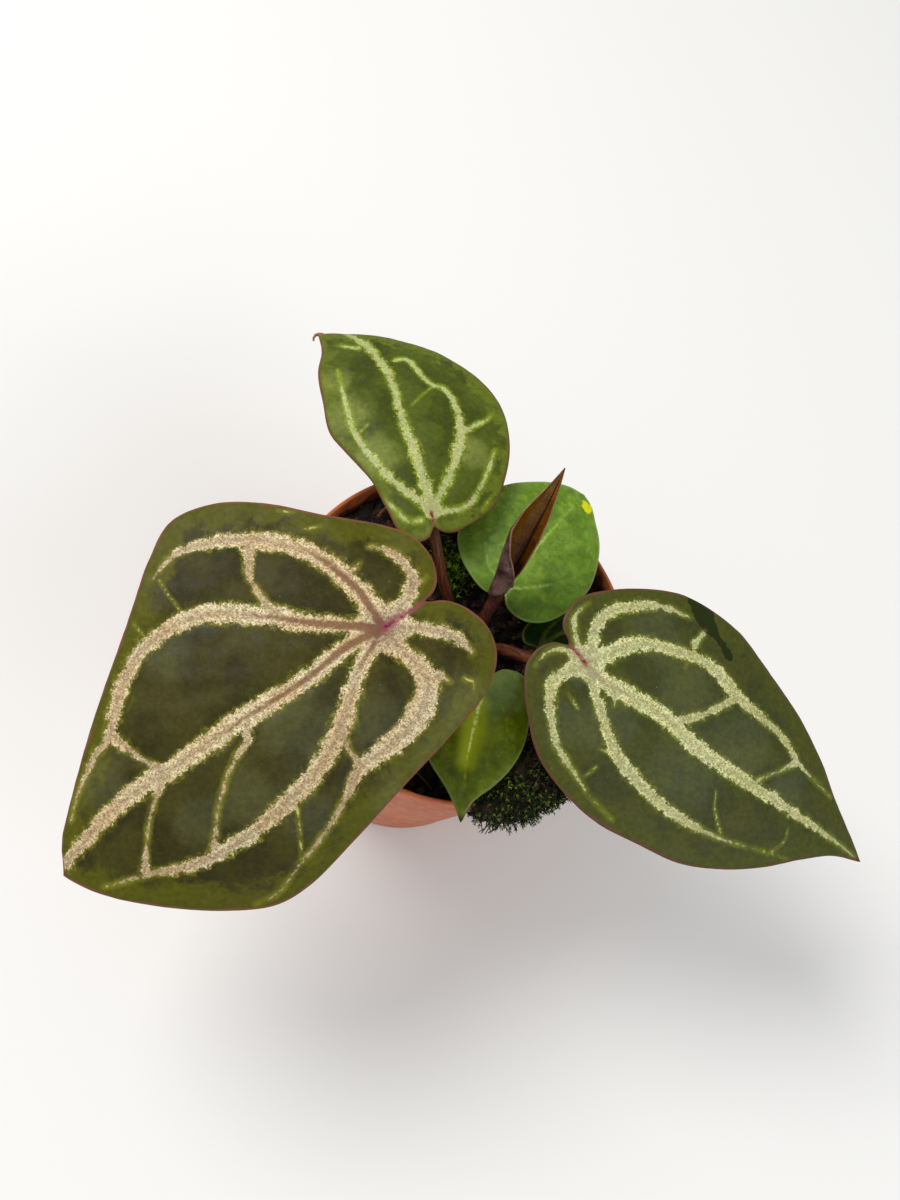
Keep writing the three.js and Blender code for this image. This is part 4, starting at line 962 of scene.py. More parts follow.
roundLook = {
    "green": colour(90, 122, 32), "greenOther": colour(110, 140, 50), "blotch": colour(142, 162, 42),
    "blotchShare": 0.55, "net": colour(60, 92, 26), "netShare": 0.16, "netSize": 2.0,
    "glow": colour(120, 150, 56), "glowShare": 0.0,
    # the pale bluish colour that starts this line is painted sheen
    "upper": colour(98, 120, 74), "paintedHubSheenShare": 0.0, "vein": colour(150, 176, 84), "veinShare": 0.7,
    "margin": colour(120, 146, 70), "tip": colour(88, 124, 40), "tipReach": 0.8,
    "dust": colour(214, 226, 200),
    "spot": (28.6, 27.5, 80.2), "spotColour": colour(196, 196, 18),
    "gloss": 0.36, "under": colour(110, 140, 78), "underOther": colour(96, 130, 68),
    "underVein": colour(150, 172, 112), "crease": colour(120, 60, 40),
}
frontLook = dict(roundLook, **{
    "green": colour(72, 84, 0), "greenOther": colour(92, 106, 12), "blotch": colour(104, 120, 8),
    "blotchShare": 0.45, "net": colour(32, 50, 6), "netShare": 0.2, "glow": colour(144, 156, 10),
    # the front leaf takes half the painted sheen near its petiole
    "glowShare": 0.85, "paintedHubSheenShare": 0.5, "vein": colour(196, 206, 120), "veinShare": 0.85,
    "margin": colour(96, 106, 44), "tip": colour(34, 36, 18), "tipReach": 2.6, "gloss": 0.34,
    "under": colour(92, 120, 62), "underOther": colour(80, 110, 54),
})
frontLook.pop("spot")  # the yellow spot is on the round leaf alone
smallLook = dict(frontLook, **{
    "green": colour(22, 50, 12), "greenOther": colour(34, 66, 18), "blotchShare": 0.15, "glowShare": 0.0,
    "paintedHubSheenShare": 0.0, "vein": colour(104, 128, 52), "tipReach": 0.6,
})

leaves = {
    "left": leftLeaf, "right": rightLeaf, "top": topLeaf, "round": roundLeaf, "front": frontLeaf,
    "small": smallLeaf,
}
for name, look, leafTop, slot in (
        ("left", leftLook, veinedLeafTop, "left_leaf"),
        ("right", rightLook, veinedLeafTop, "right_leaf"),
        ("top", topLook, veinedLeafTop, "top_leaf"),
        ("round", roundLook, youngLeafTop, "round_leaf"),
        ("front", frontLook, youngLeafTop, "front_leaf"),
        ("small", smallLook, youngLeafTop, "front_leaf")):
    top = leafTop(name + "LeafFace", look)
    under = leafUnderside(name + "LeafBack", look)
    makeBlade(name + "Leaf", leaves[name], top, under, slot, name + "_blade")
print("blades made")


# grown pieces

# runs a geometry tree on a mesh and keeps what comes out as a plain mesh
def growPiece(name, tree, source, values):
    grow = source.modifiers.new("grow", "NODES")
    grow.node_group = tree
    for item in tree.interface.items_tree:
        if item.item_type == "SOCKET" and item.in_out == "INPUT" and item.name in values:
            grow[item.identifier] = values[item.name]
    source.update_tag()
    depsgraph = bpy.context.evaluated_depsgraph_get()
    grown = bpy.data.meshes.new_from_object(source.evaluated_get(depsgraph), preserve_all_data_layers=True,
                                            depsgraph=depsgraph)
    grown.name = name
    source.modifiers.remove(grow)
    piece = bpy.data.objects.new(name, grown)
    scene.collection.objects.link(piece)
    bpy.data.objects.remove(source)
    return piece


def storeNamed(tree, geometry, name, value, domain="POINT"):
    node = addNode(tree, "GeometryNodeStoreNamedAttribute", data_type="FLOAT", domain=domain,
                   values={"Name": name}, links={"Geometry": geometry})
    feed(tree, node.inputs["Value"], value)
    return node.outputs["Geometry"]


def namedValue(tree, name):
    return addNode(tree, "GeometryNodeInputNamedAttribute", data_type="FLOAT",
                   values={"Name": name}).outputs["Attribute"]


# every growing tree ends in real geometry with its material
def endTree(tree, geometry, material, end):
    whole = addNode(tree, "GeometryNodeRealizeInstances", links={"Geometry": geometry})
    skin = addNode(tree, "GeometryNodeSetMaterial",
                   links={"Geometry": whole.outputs[0], "Material": material})
    tree.links.new(skin.outputs[0], end.inputs["Geometry"])


# round stalks along the edges of a mesh whose points hold station, 0 at the foot and 1 at the tip
def makeStalkTree():
    tree, start, end = makeGroup("stalk", [
        ("Geometry", "Geometry", None), ("Radius", "Float", 0.0015), ("Foot", "Float", 0.12),
        ("Swelling", "Float", 0.12), ("Nose", "Float", 0.55), ("Taper", "Float", 0.0),
        ("Wobble", "Float", 0.05), ("Spacing", "Float", 0.0004), ("Sides", "Int", 16),
        ("Material", "Material", None),
    ], [("Geometry", "Geometry", None)], "GeometryNodeTree")
    tree.is_modifier = True
    given = start.outputs
    curve = addNode(tree, "GeometryNodeMeshToCurve", links={"Mesh": given["Geometry"]}).outputs["Curve"]
    curve = addNode(tree, "GeometryNodeResampleCurve", mode="LENGTH",
                    links={"Curve": curve, "Length": given["Spacing"]}).outputs["Curve"]
    station = namedValue(tree, "station")
    where = addNode(tree, "GeometryNodeInputPosition").outputs[0]
    share = minus(tree, 0.92, times(tree, given["Taper"], station))
    share = plus(tree, share, times(tree, given["Foot"], ease(tree, station, 0.3, 0.0)))
    share = plus(tree, share, times(tree, given["Swelling"], ease(tree, station, 0.78, 0.9)))
    share = minus(tree, share, times(tree, given["Nose"], ease(tree, station, 0.93, 1.0)))
    lumps = minus(tree, noise(tree, 3.5, 3, 0.6, where), 0.5)
    lumps = plus(tree, times(tree, times(tree, lumps, 2.0), given["Wobble"]), 1.0)
    radius = times(tree, times(tree, share, lumps), given["Radius"])
    profile = addNode(tree, "GeometryNodeCurvePrimitiveCircle", mode="RADIUS", values={"Radius": 1.0},
                      links={"Resolution": given["Sides"]}).outputs["Curve"]
    around = addNode(tree, "GeometryNodeSplineParameter").outputs["Factor"]
    profile = storeNamed(tree, profile, "around", around)
    tube = addNode(tree, "GeometryNodeCurveToMesh", values={"Fill Caps": True},
                   links={"Curve": curve, "Profile Curve": profile, "Scale": radius})
    smooth = addNode(tree, "GeometryNodeSetShadeSmooth", links={"Geometry": tube.outputs["Mesh"]})
    endTree(tree, smooth.outputs[0], given["Material"], end)
    return tree


# small shapes spread over a mesh, thicker where its points hold more cover
def makeScatterTree():
    tree, start, end = makeGroup("scatter", [
        ("Geometry", "Geometry", None), ("Shapes", "Collection", None), ("Density", "Float", 100.0),
        ("Smallest", "Float", 0.5), ("Largest", "Float", 1.0), ("Tilt", "Float", 0.6),
        ("Upright", "Float", 0.0), ("Seed", "Int", 1), ("Material", "Material", None),
    ], [("Geometry", "Geometry", None)], "GeometryNodeTree")
    tree.is_modifier = True
    given = start.outputs
    spots = addNode(tree, "GeometryNodeDistributePointsOnFaces", distribute_method="RANDOM", links={
        "Mesh": given["Geometry"], "Seed": given["Seed"],
        "Density": times(tree, given["Density"], namedValue(tree, "cover"))})
    shapes = addNode(tree, "GeometryNodeCollectionInfo", links={"Collection": given["Shapes"]},
                     values={"Separate Children": True, "Reset Children": True})
    lean = addNode(tree, "ShaderNodeMix", data_type="VECTOR", links={"Factor": given["Upright"]})
    tree.links.new(spots.outputs["Normal"], lean.inputs[4])
    lean.inputs[5].default_value = (0.0, 0.0, 1.0)
    face = addNode(tree, "FunctionNodeAlignRotationToVector", axis="Z", links={"Vector": lean.outputs[1]})

    def randomValue(low, high, shift, kind="FLOAT"):
        node = addNode(tree, "FunctionNodeRandomValue", data_type=kind)
        lowest, highest = [s for s in node.inputs if s.enabled and s.name in ("Min", "Max")]
        feed(tree, lowest, low)
        feed(tree, highest, high)
        tree.links.new(plus(tree, given["Seed"], shift), node.inputs["Seed"])
        return [s for s in node.outputs if s.enabled][0]

    spin = addNode(tree, "ShaderNodeCombineXYZ")
    tiltDown = times(tree, given["Tilt"], -1.0)
    for axis, shift in (("X", 11), ("Y", 12)):
        tree.links.new(randomValue(tiltDown, given["Tilt"], shift), spin.inputs[axis])
    turned = addNode(tree, "FunctionNodeRotateRotation", rotation_space="LOCAL",
                     links={"Rotation": face.outputs[0], "Rotate By": spin.outputs[0]})
    heading = addNode(tree, "ShaderNodeCombineXYZ", links={"Z": randomValue(0.0, math.tau, 13)})
    turned = addNode(tree, "FunctionNodeRotateRotation", rotation_space="LOCAL",
                     links={"Rotation": turned.outputs[0], "Rotate By": heading.outputs[0]})
    placed = addNode(tree, "GeometryNodeInstanceOnPoints", values={"Pick Instance": True}, links={
        "Points": spots.outputs["Points"], "Instance": shapes.outputs[0], "Rotation": turned.outputs[0],
        "Scale": randomValue(given["Smallest"], given["Largest"], 14)})
    tinted = storeNamed(tree, placed.outputs[0], "tone", randomValue(0.0, 1.0, 15), "INSTANCE")
    endTree(tree, tinted, given["Material"], end)
    return tree


stalkTree = makeStalkTree()
scatterTree = makeScatterTree()


# one or more stalks along rows of points, in mm
def growStalks(name, paths, material, **values):
    verts, edges, stations = [], [], []
    for path in paths:
        line = smoothLine(path, 0.8)
        edges += [(len(verts) + i, len(verts) + i + 1) for i in range(len(line) - 1)]
        stations += list(np.linspace(0, 1, len(line)))
        verts += line.tolist()
    mesh = bpy.data.meshes.new(name + "Paths")
    mesh.from_pydata((np.array(verts) * mm).tolist(), edges, [])
    source = bpy.data.objects.new(name + "Paths", mesh)
    scene.collection.objects.link(source)
    storeValue(source, "station", stations)
    return growPiece(name, stalkTree, source, dict(values, Material=material))


# petioles

# streaks that run along a stalk, and pale flecks on it
def makeStalkGrain():
    tree, start, end = makeGroup("stalkGrain", [("Stretch", "Float", 14.0)],
                                 [("Streak", "Float", None), ("Fleck", "Float", None)])
    turn = times(tree, attribute(tree, "around"), math.tau)
    run = times(tree, attribute(tree, "station"), start.outputs["Stretch"])
    where = addNode(tree, "ShaderNodeCombineXYZ", links={
        "X": maths(tree, "COSINE", turn), "Y": maths(tree, "SINE", turn), "Z": run}).outputs[0]
    streak = addNode(tree, "ShaderNodeTexNoise", values={"Scale": 2.6, "Detail": 4.0, "Roughness": 0.6},
                     links={"Vector": where}).outputs["Fac"]
    dots = cells(tree, 0.55)
    chosen = addNode(tree, "ShaderNodeSeparateColor", links={"Color": cells(tree, 0.55, "Color")}).outputs[0]
    fleck = times(tree, ease(tree, dots, 0.22, 0.08), ease(tree, chosen, 0.72, 0.76))
    tree.links.new(streak, end.inputs["Streak"])
    tree.links.new(fleck, end.inputs["Fleck"])
    return tree


stalkGrain = makeStalkGrain()


def petioleSkin(name, look):
    material, tree, surface = startMaterial(name, Roughness=0.42, Specular_IOR_Level=0.28)
    grain = useGroup(tree, stalkGrain, {"Stretch": look["stretch"]}).outputs
    streak = ease(tree, grain["Streak"], 0.34, 0.68)
    shade = blendColour(tree, streak, look["dark"], look["red"])
    along = frayed(tree, attribute(tree, "station"), 4, 0.12, 2)
    shade = blendColour(tree, times(tree, ease(tree, along, 0.72, 1.0), 0.6), shade, look["joint"])
    shade = blendColour(tree, times(tree, ease(tree, along, 0.34, 0.1), 0.65), shade, look["foot"])
    shade = blendColour(tree, times(tree, grain["Fleck"], 0.5), shade, look["fleck"])
    paint(tree, surface, shade, patchyRough(tree, 1.2, 0.34, 0.54))
    ridges = bump(tree, None, grain["Streak"], 0.12, 0.6)
    bump(tree, surface, grain["Fleck"], 0.05, 0.7, ridges)
    return material


petioleLook = {
    "red": colour(106, 56, 26), "dark": colour(54, 25, 14), "joint": colour(116, 64, 36),
    "foot": colour(42, 26, 14), "fleck": colour(176, 124, 96), "stretch": 7.0,
}
newPetioleLook = dict(petioleLook, red=colour(86, 36, 24), dark=colour(40, 16, 10), foot=colour(60, 34, 22))
petioles = {
    "left": {"radius": 1.6, "path": [[-1.3, -1.9, 54], [-1.8, -2.3, 63], [-5, -4.5, 75], [-12, -8.5, 88],
                                     [-19, -11.4, 95]]},
    "right": {"radius": 1.55, "path": [[6.7, -2.7, 54], [7.2, -2.8, 62], [9, -3.9, 69.5], [14, -8.6, 76.5],
                                       [19.2, -11.5, 81.5]]},
    "top": {"radius": 1.4, "path": [[0.5, 4.5, 54], [0, 5.2, 62], [-1.8, 7.9, 68.5], [-4.7, 11, 74.5],
                                    [-7.2, 15.4, 80.5]]},
    "round": {"radius": 1.15, "path": [[6.4, 3.7, 54], [6.7, 3.9, 62], [7.4, 5.2, 70]]},
    "front": {"radius": 1.15, "path": [[3.3, -4.4, 54], [3.4, -5, 62], [3.7, -8, 70]]},
    "small": {"radius": 0.8, "path": [[7.9, 0.4, 54], [8.8, 0, 59.5], [11.5, -1.5, 61.2], [16, -2.2, 62]]},
    "new": {"radius": 1.6, "path": [[3, 0.4, 63.4], [3.5, 0.6, 68.5], [4.6, 1.4, 73.2], [6, 4.3, 78.8],
                                    [7.5, 6.4, 83.4], [7.9, 7.3, 85]]},
}


def makePetioles():
    skin = petioleSkin("petioleSkin", petioleLook)
    for name, leaf in leaves.items():
        origin, along, _, face, length = bladeAxes(leaf)
        up = face - along * 4 * leaf["bow"] / length
        up /= np.linalg.norm(up)
        radius = petioles[name]["radius"]
        nose = origin - up * 0.75
        path = petioles[name]["path"] + [(nose - up * 2 * radius).tolist(), nose.tolist()]
        piece = growStalks(name + "Petiole", [path], skin, Radius=radius * mm, Sides=20)
        settle(piece, "petiole_skin", name + "_petiole")
    newSkin = petioleSkin("newPetioleSkin", newPetioleLook)
    new = petioles["new"]
    piece = growStalks("newPetiole", [new["path"]], newSkin, Radius=new["radius"] * mm, Foot=0.1,
                       Swelling=0.0, Nose=0.25, Taper=0.12, Sides=20)
    settle(piece, "petiole_skin", "new_leaf_petiole")


makePetioles()
print("petioles made")


# the newest leaf, half unrolled

newLeaf = {
    "midrib": [[7.8, 7.1, 84.6], [9, 9.6, 90], [11, 14, 96.5], [13.2, 19, 101.5], [15.1, 23.6, 105]],
    # along the midrib: radius and turn in degrees of the left half, then of the right half
    "rolls": [(0, 1.9, 260, 1.0, 60), (0.12, 2.3, 225, 1.5, 75), (0.28, 3.3, 165, 1.8, 85),
              (0.45, 3.9, 122, 1.9, 85), (0.6, 3.3, 104, 1.6, 80), (0.75, 2.0, 95, 1.0, 75),
              (0.88, 0.9, 90, 0.5, 70), (1, 0.06, 80, 0.05, 70)],
    "thickness": [(0, 0.4), (0.75, 0.34), (1, 0.08)], "rimBulge": 0.04,
    "lobes": (4.5, 0.5), "facing": (-0.35, -0.3, 0.89), "rows": 110, "columns": 90,
    "amber": colour(100, 60, 4), "umber": colour(64, 32, 2), "gold": colour(112, 74, 4),
    "mauve": colour(112, 82, 76), "plum": colour(52, 26, 22), "rib": colour(48, 12, 6),
    "edge": colour(116, 76, 50), "innerShine": 0.16, "outerShine": 0.6,
}


def newLeafSkin(name, light, dark, shine):
    look = newLeaf
    material, tree, surface = startMaterial(name, Roughness=0.3, Specular_IOR_Level=shine,
                                            Coat_Weight=shine / 2, Coat_Roughness=0.12)
    net = useGroup(tree, leafNet, {"Net Size": 1.5, "Skin Size": 0.35}).outputs
    across = attribute(tree, "across")
    shade = blendColour(tree, ease(tree, noise(tree, 3.5, 3, 0.55), 0.32, 0.68), dark, light)
    fade = times(tree, ease(tree, attribute(tree, "station"), 0.15, 0.8), 0.5)
    shade = blendColour(tree, fade, shade, look["gold"] if name.endswith("Face") else look["plum"])
    shade = blendColour(tree, times(tree, net["Net"], 0.3), shade, dark)
    rib = ease(tree, maths(tree, "ABSOLUTE", across), 0.09, 0.03)
    shade = blendColour(tree, rib, shade, look["rib"])
    edge = ease(tree, attribute(tree, "rim"), 0.35, 0.1)
    shade = blendColour(tree, times(tree, edge, 0.7), shade, look["edge"])
    paint(tree, surface, shade, patchyRough(tree, 1.6, 0.22, 0.4))
    skin = bump(tree, None, net["Skin"], 0.04, 0.4)
    lines = bump(tree, None, net["Net"], 0.08, 0.6, skin)
    bump(tree, surface, noise(tree, 1.4, 3), 0.15, 0.5, lines)
    return material


def makeNewLeaf():
    leaf = newLeaf
    rows, columns = leaf["rows"], leaf["columns"]
    line = smoothLine(leaf["midrib"], 0.05)
    reach = np.linspace(0, len(line) - 1, rows)
    centre = np.stack([np.interp(reach, np.arange(len(line)), line[:, k]) for k in range(3)], 1)
    along = np.gradient(centre, axis=0)
    along /= np.linalg.norm(along, axis=1)[:, None]
    side = np.cross(along, leaf["facing"])
    side /= np.linalg.norm(side, axis=1)[:, None]
    face = np.cross(side, along)
    t = np.linspace(0, 1, rows)[:, None]
    c = np.linspace(-1, 1, columns)[None, :]
    left = c < 0
    stops, leftRadius, leftTurn, rightRadius, rightTurn = np.array(leaf["rolls"]).T

    def eitherHalf(leftValues, rightValues):
        return np.where(left, np.interp(t, stops, leftValues), np.interp(t, stops, rightValues))

    radius = eitherHalf(leftRadius, rightRadius)
    turn = np.abs(c) * np.radians(eitherHalf(leftTurn, rightTurn))
    lobe = np.where(left, leaf["lobes"][0] * np.sin(np.pi * np.clip(1.1 * np.abs(c), 0, 1)) ** 0.8,
                    leaf["lobes"][1] * np.abs(c)) * (1 - t) ** 4
    crumple = 0.2 * np.sin(9 * t + 4 * c) + 0.14 * np.sin(23 * t - 5 * c + 1) * np.abs(c)
    crumple *= np.clip(6 * (1 - t), 0, 1)
    groove = 0.2 * np.exp(-(c / 0.05) ** 2) * np.clip(6 * (1 - t), 0, 1)
    sheet = (centre[:, None] + (np.sign(c) * radius * np.sin(turn))[..., None] * side[:, None]
             + (radius * (1 - np.cos(turn)) + crumple * np.abs(c) - groove)[..., None] * face[:, None]
             - lobe[..., None] * along[:, None]).reshape(-1, 3)
    thick = np.repeat(np.interp(t[:, 0], *np.array(leaf["thickness"]).T), columns)
    verts, allFaces, slots, rimIds = thicken(sheet, gridFaces(rows, columns), thick, leaf["rimBulge"])
    inner = newLeafSkin("newLeafFace", leaf["amber"], leaf["umber"], leaf["innerShine"])
    outer = newLeafSkin("newLeafBack", leaf["mauve"], leaf["plum"], leaf["outerShine"])
    piece = makePiece("newLeaf", verts, allFaces, (inner, outer), slots)
    # about how far each point is from the rim, in mm
    column = np.arange(columns)[None, :]
    sides = np.minimum(column, columns - 1 - column) * 0.16 + 0 * t
    ends = np.minimum(sides, (1 - t) * 25 + 0 * c)
    storeSheet(piece, rimIds, {"across": c + 0 * t, "station": t + 0 * c, "rim": ends})
    settle(piece, "new_leaf", "new_leaf_blade")


makeNewLeaf()
print("new leaf made")


# pot

pot = {
    "baseRadius": 28, "flare": 10.2, "wall": 1.1, "floor": 1.6, "segments": 256,
    "bandFoot": 60, "bandHeight": 10, "bandInner": 37.1, "bandFlare": 1.8,
    "drains": 8, "drainRadius": 2.6, "drainCircle": 20,
    "clay": colour(190, 103, 57), "clayDark": colour(174, 90, 48), "dust": colour(202, 132, 90),
    "inside": colour(92, 46, 24), "innerDark": colour(30, 17, 11), "smear": colour(74, 48, 32),
}


def outerRadius(z):
    return pot["baseRadius"] + pot["flare"] * z / pot["bandFoot"]


def innerRadius(z):
    band = pot["bandInner"] + pot["bandFlare"] * (z - pot["bandFoot"]) / pot["bandHeight"]
    return np.where(z < pot["bandFoot"], outerRadius(z) - pot["wall"], band)


def potPlastic():
    look = pot
    material, tree, surface = startMaterial("potPlastic", Roughness=0.45, Specular_IOR_Level=0.35)
    spot = addNode(tree, "ShaderNodeSeparateXYZ", links={"Vector": place(tree)})
    height = times(tree, spot.outputs["Z"], 1 / mm)
    clay = blendColour(tree, ease(tree, noise(tree, 14, 4, 0.6), 0.35, 0.65), look["clay"], look["clayDark"])
    dusty = times(tree, ease(tree, noise(tree, 5, 5, 0.7), 0.52, 0.72), 0.25)
    clay = blendColour(tree, dusty, clay, look["dust"])
    # watering marks run down from the rim
    squeezed = addNode(tree, "ShaderNodeVectorMath", operation="MULTIPLY", links={0: place(tree)})
    squeezed.inputs[1].default_value = (1, 1, 0.12)
    marks = noise(tree, 2.2, 4, 0.65, squeezed.outputs[0])
    smear = times(tree, ease(tree, marks, 0.56, 0.72), ease(tree, height, 8, 60, 0.12, 0.3))
    clay = blendColour(tree, smear, clay, look["smear"])
    inner = attribute(tree, "inner")
    # the inner wall is darker below the top of the wall, in patches, with dark specks
    inside = blendColour(tree, ease(tree, noise(tree, 4, 4, 0.65), 0.35, 0.6), look["innerDark"], look["inside"])
    inside = blendColour(tree, ease(tree, frayed(tree, height, 3, 2.5), 66.8, 69.6), inside, clay)
    shade = blendColour(tree, inner, clay, inside)
    specks = ease(tree, cells(tree, 1.6), 0.13, 0.06)
    shade = blendColour(tree, times(tree, times(tree, specks, inner), 0.8), shade,
                        look["innerDark"])
    paint(tree, surface, shade, patchyRough(tree, 3, 0.38, 0.58, 4, 0.6))
    grain = bump(tree, None, noise(tree, 0.35, 3, 0.6), 0.03, 0.6)
    bump(tree, surface, marks, 0.12, 0.4, grain)
    return material


def makePot():
    segments = pot["segments"]
    angles = np.arange(segments) * math.tau / segments
    profile = np.array([
        [27.0, 0, 0], [27.4, 0, 0], [27.75, 0.2, 0], [27.98, 0.6, 0], [28.1, 1, 0], [28.4, 2.0, 0],
        *[[float(outerRadius(z)), z, 0] for z in np.linspace(4, 58.6, 34)],
        [38.15, 59.2, 0], [38.3, 59.5, 0], [38.7, 59.65, 0], [39.0, 59.85, 0], [39.1, 60.2, 0],
        [39.3, 62, 0], [39.55, 64.5, 0], [39.8, 67, 0], [39.95, 68.7, 0], [40.0, 69.2, 0], [39.93, 69.6, 0],
        [39.75, 69.88, 0], [39.5, 70, 0], [39.25, 69.97, 0.4], [39.05, 69.8, 0.8], [38.93, 69.4, 1],
        *[[float(innerRadius(z)), z, 1] for z in (68, 66, 64, 62, 60.6, 59.6, 58)],
        *[[float(innerRadius(z)), z, 1] for z in np.linspace(55, 3, 20)],
        [26.9, 1.9, 1], [26.5, 1.6, 1],
    ])
    verts, inner = [], []
    for radius, z, side in profile:
        # the draw of the mould leaves the wall a hair out of round
        swell = radius * (1 + 0.0012 * np.sin(3 * angles + 0.4) + 0.0006 * np.sin(7 * angles + z / 9))
        verts += np.stack([swell * np.cos(angles), swell * np.sin(angles), np.full(segments, z)], 1).tolist()
        inner += [side] * segments
    faces = ringFaces(len(profile) - 1, segments)

    # the floor with its drain holes, below and above
    loops = [np.arange(segments)]
    flat = [np.array(verts)[:segments, :2]]
    drains, points = pot["drains"], 40
    for k in range(drains):
        turn = k * math.tau / drains
        ring = np.arange(points) * math.tau / points
        centre = np.array([math.cos(turn), math.sin(turn)]) * pot["drainCircle"]
        loops.append(np.arange(points) + sum(len(loop) for loop in loops))
        flat.append(centre + pot["drainRadius"] * np.stack([np.cos(ring), np.sin(ring)], 1))
    flat = np.vstack(flat)
    corners, loops = [Vector(p) for p in flat], [loop.tolist() for loop in loops]
    _, _, floorFaces, *_ = delaunay_2d_cdt(corners, [], loops, 2, 1e-6)
    low = len(verts)
    high = low + len(flat) - segments
    holes = flat[segments:]
    verts += [[x, y, 0] for x, y in holes] + [[x, y, pot["floor"]] for x, y in holes]
    inner += [0] * len(holes) + [1] * len(holes)
    topRing = (len(profile) - 1) * segments
    for face in floorFaces:
        if len(face) != 3:
            continue
        a, b, c = face
        (x0, y0), (x1, y1) = flat[b] - flat[a], flat[c] - flat[a]
        up = (a, b, c) if x0 * y1 - y0 * x1 > 0 else (a, c, b)
        faces.append(tuple(k if k < segments else low + k - segments for k in up[::-1]))
        faces.append(tuple(topRing + k if k < segments else high + k - segments for k in up))
    for k in range(drains):
        for j in range(points):
            a, b = low + points * k + j, low + points * k + (j + 1) % points
            faces.append((b, a, a + len(holes), b + len(holes)))
    piece = makePiece("nurseryPot", verts, faces, (potPlastic(),))
    storeValue(piece, "inner", inner)
    settle(piece, "pot_plastic", "pot")


makePot()
print("pot made")


# soil

soil = {
    "mouth": 36.8, "gap": 0.3,  # where the bed meets the wall, and its gap to it
    "levels": (52, 44, 32, 18, 2.2),  # rings down the pot's wall to its floor
    "dark": colour(22, 14, 10), "brown": colour(52, 36, 24),
    "bark": colour(84, 58, 38), "barkDark": colour(26, 17, 12),
    "grit": colour(128, 124, 112), "gritDark": colour(84, 82, 74), "root": colour(150, 118, 84),
    "rootDark": colour(92, 64, 42),
}


def soilHeight(x, y):
    bank = 7 * smoothStep(0.8 * y - 0.6 * x, 4, 36)
    lumps = 0.5 * np.sin(0.9 * x + 1.3) * np.cos(0.8 * y) + 0.4 * np.sin(1.7 * x - 1.1 * y)
    return 58.5 + bank + lumps


def soilSkin():
    look = soil
    material, tree, surface = startMaterial("soilSkin", Roughness=0.85, Specular_IOR_Level=0.4)
    crumb = noise(tree, 1.1, 6, 0.7)
    shade = blendColour(tree, ease(tree, crumb, 0.35, 0.7), look["dark"], look["brown"])
    shade = blendColour(tree, ease(tree, noise(tree, 7, 3), 0.45, 0.6), shade, look["dark"])
    paint(tree, surface, shade, ease(tree, crumb, 0.3, 0.7, 0.6, 0.95))
    bump(tree, surface, crumb, 0.8, 0.9)
    return material


def makeSoil():
    segments, rings, mouth = 220, 56, soil["mouth"]
    angles = np.arange(segments) * math.tau / segments
    verts, cover = [[0, 0, float(soilHeight(0, 0))]], [1]
    for i in range(1, rings + 1):
        share = i / rings
        edge = innerRadius(soilHeight(mouth * np.cos(angles), mouth * np.sin(angles))) - 0.25
        x, y = share * edge * np.cos(angles), share * edge * np.sin(angles)
        z = soilHeight(x, y) + ripple(x, y, 2.2, 3) * 0.5 + ripple(x, y, 0.9, 8) * 0.25
        verts += np.stack([x, y, z], 1).tolist()
        cover += [1 if i < rings else 0] * segments
    for z in soil["levels"]:
        edge = innerRadius(z) - soil["gap"]
        verts += np.stack([edge * np.cos(angles), edge * np.sin(angles), np.full(segments, z)], 1).tolist()
        cover += [0] * segments
    verts.append([0, 0, soil["levels"][-1]])
    cover.append(0)
    faces = [(0, 1 + j, 1 + (j + 1) % segments) for j in range(segments)]
    walls = rings - 1 + len(soil["levels"])
    faces += ringFaces(walls, segments, 1, flipped=True)
    last = 1 + walls * segments
    faces += [(last + (j + 1) % segments, last + j, len(verts) - 1) for j in range(segments)]
    piece = makePiece("soilBed", verts, faces, (soilSkin(),))
    storeValue(piece, "cover", cover)
    settle(piece, "soil_mix", "soil")
    return piece


soilBed = makeSoil()
print("soil made")


# bark, crumbs and grit on the soil

# a closed broken lump: a small ball cut flat by a few planes
def chunkMesh(name, seed, size, cuts=6, level=2):
    chance = random.Random(seed)
    ball = bmesh.new()
    bmesh.ops.create_icosphere(ball, subdivisions=level, radius=1)
    for _ in range(cuts):
        normal = Vector([chance.gauss(0, 1) for _ in range(3)]).normalized()
        depth = chance.uniform(0.45, 0.75)
        for vert in ball.verts:
            over = vert.co.dot(normal) - depth
            if over > 0:
                vert.co -= normal * over
    for vert in ball.verts:
        vert.co = Vector([c * k * mm for c, k in zip(vert.co, size)])
    mesh = bpy.data.meshes.new(name)
    ball.to_mesh(mesh)
    ball.free()
    return mesh


# the named shapes in a collection of their own, for one scatter
def shapeSet(name, meshes):
    shapes = bpy.data.collections.new(name)
    for i, mesh in enumerate(meshes):
        shapes.objects.link(bpy.data.objects.new(f"{name}{i}", mesh))
    return shapes


def scatterOver(name, ground, meshes, material, **values):
    shapes = shapeSet(name + "Shapes", meshes)
    source = bpy.data.objects.new(name + "Ground", ground.data.copy())
    scene.collection.objects.link(source)
    piece = growPiece(name, scatterTree, source, dict(values, Shapes=shapes, Material=material))
    for shape in list(shapes.objects):
        bpy.data.objects.remove(shape)
    bpy.data.collections.remove(shapes)
    return piece


def lumpSkin(name, dark, light, size, gloss):
    material, tree, surface = startMaterial(name, Roughness=gloss, Specular_IOR_Level=0.4)
    tone = attribute(tree, "tone")
    grain = noise(tree, size, 4, 0.65)
    share = maths(tree, "ADD", ease(tree, grain, 0.3, 0.75), ease(tree, tone, 0, 1, -0.45, 0.35), clamp=True)
    shade = blendColour(tree, share, dark, light)
    paint(tree, surface, shade, ease(tree, grain, 0.3, 0.7, gloss - 0.15, gloss + 0.1))
    bump(tree, surface, grain, 0.35, 0.8)
    return material


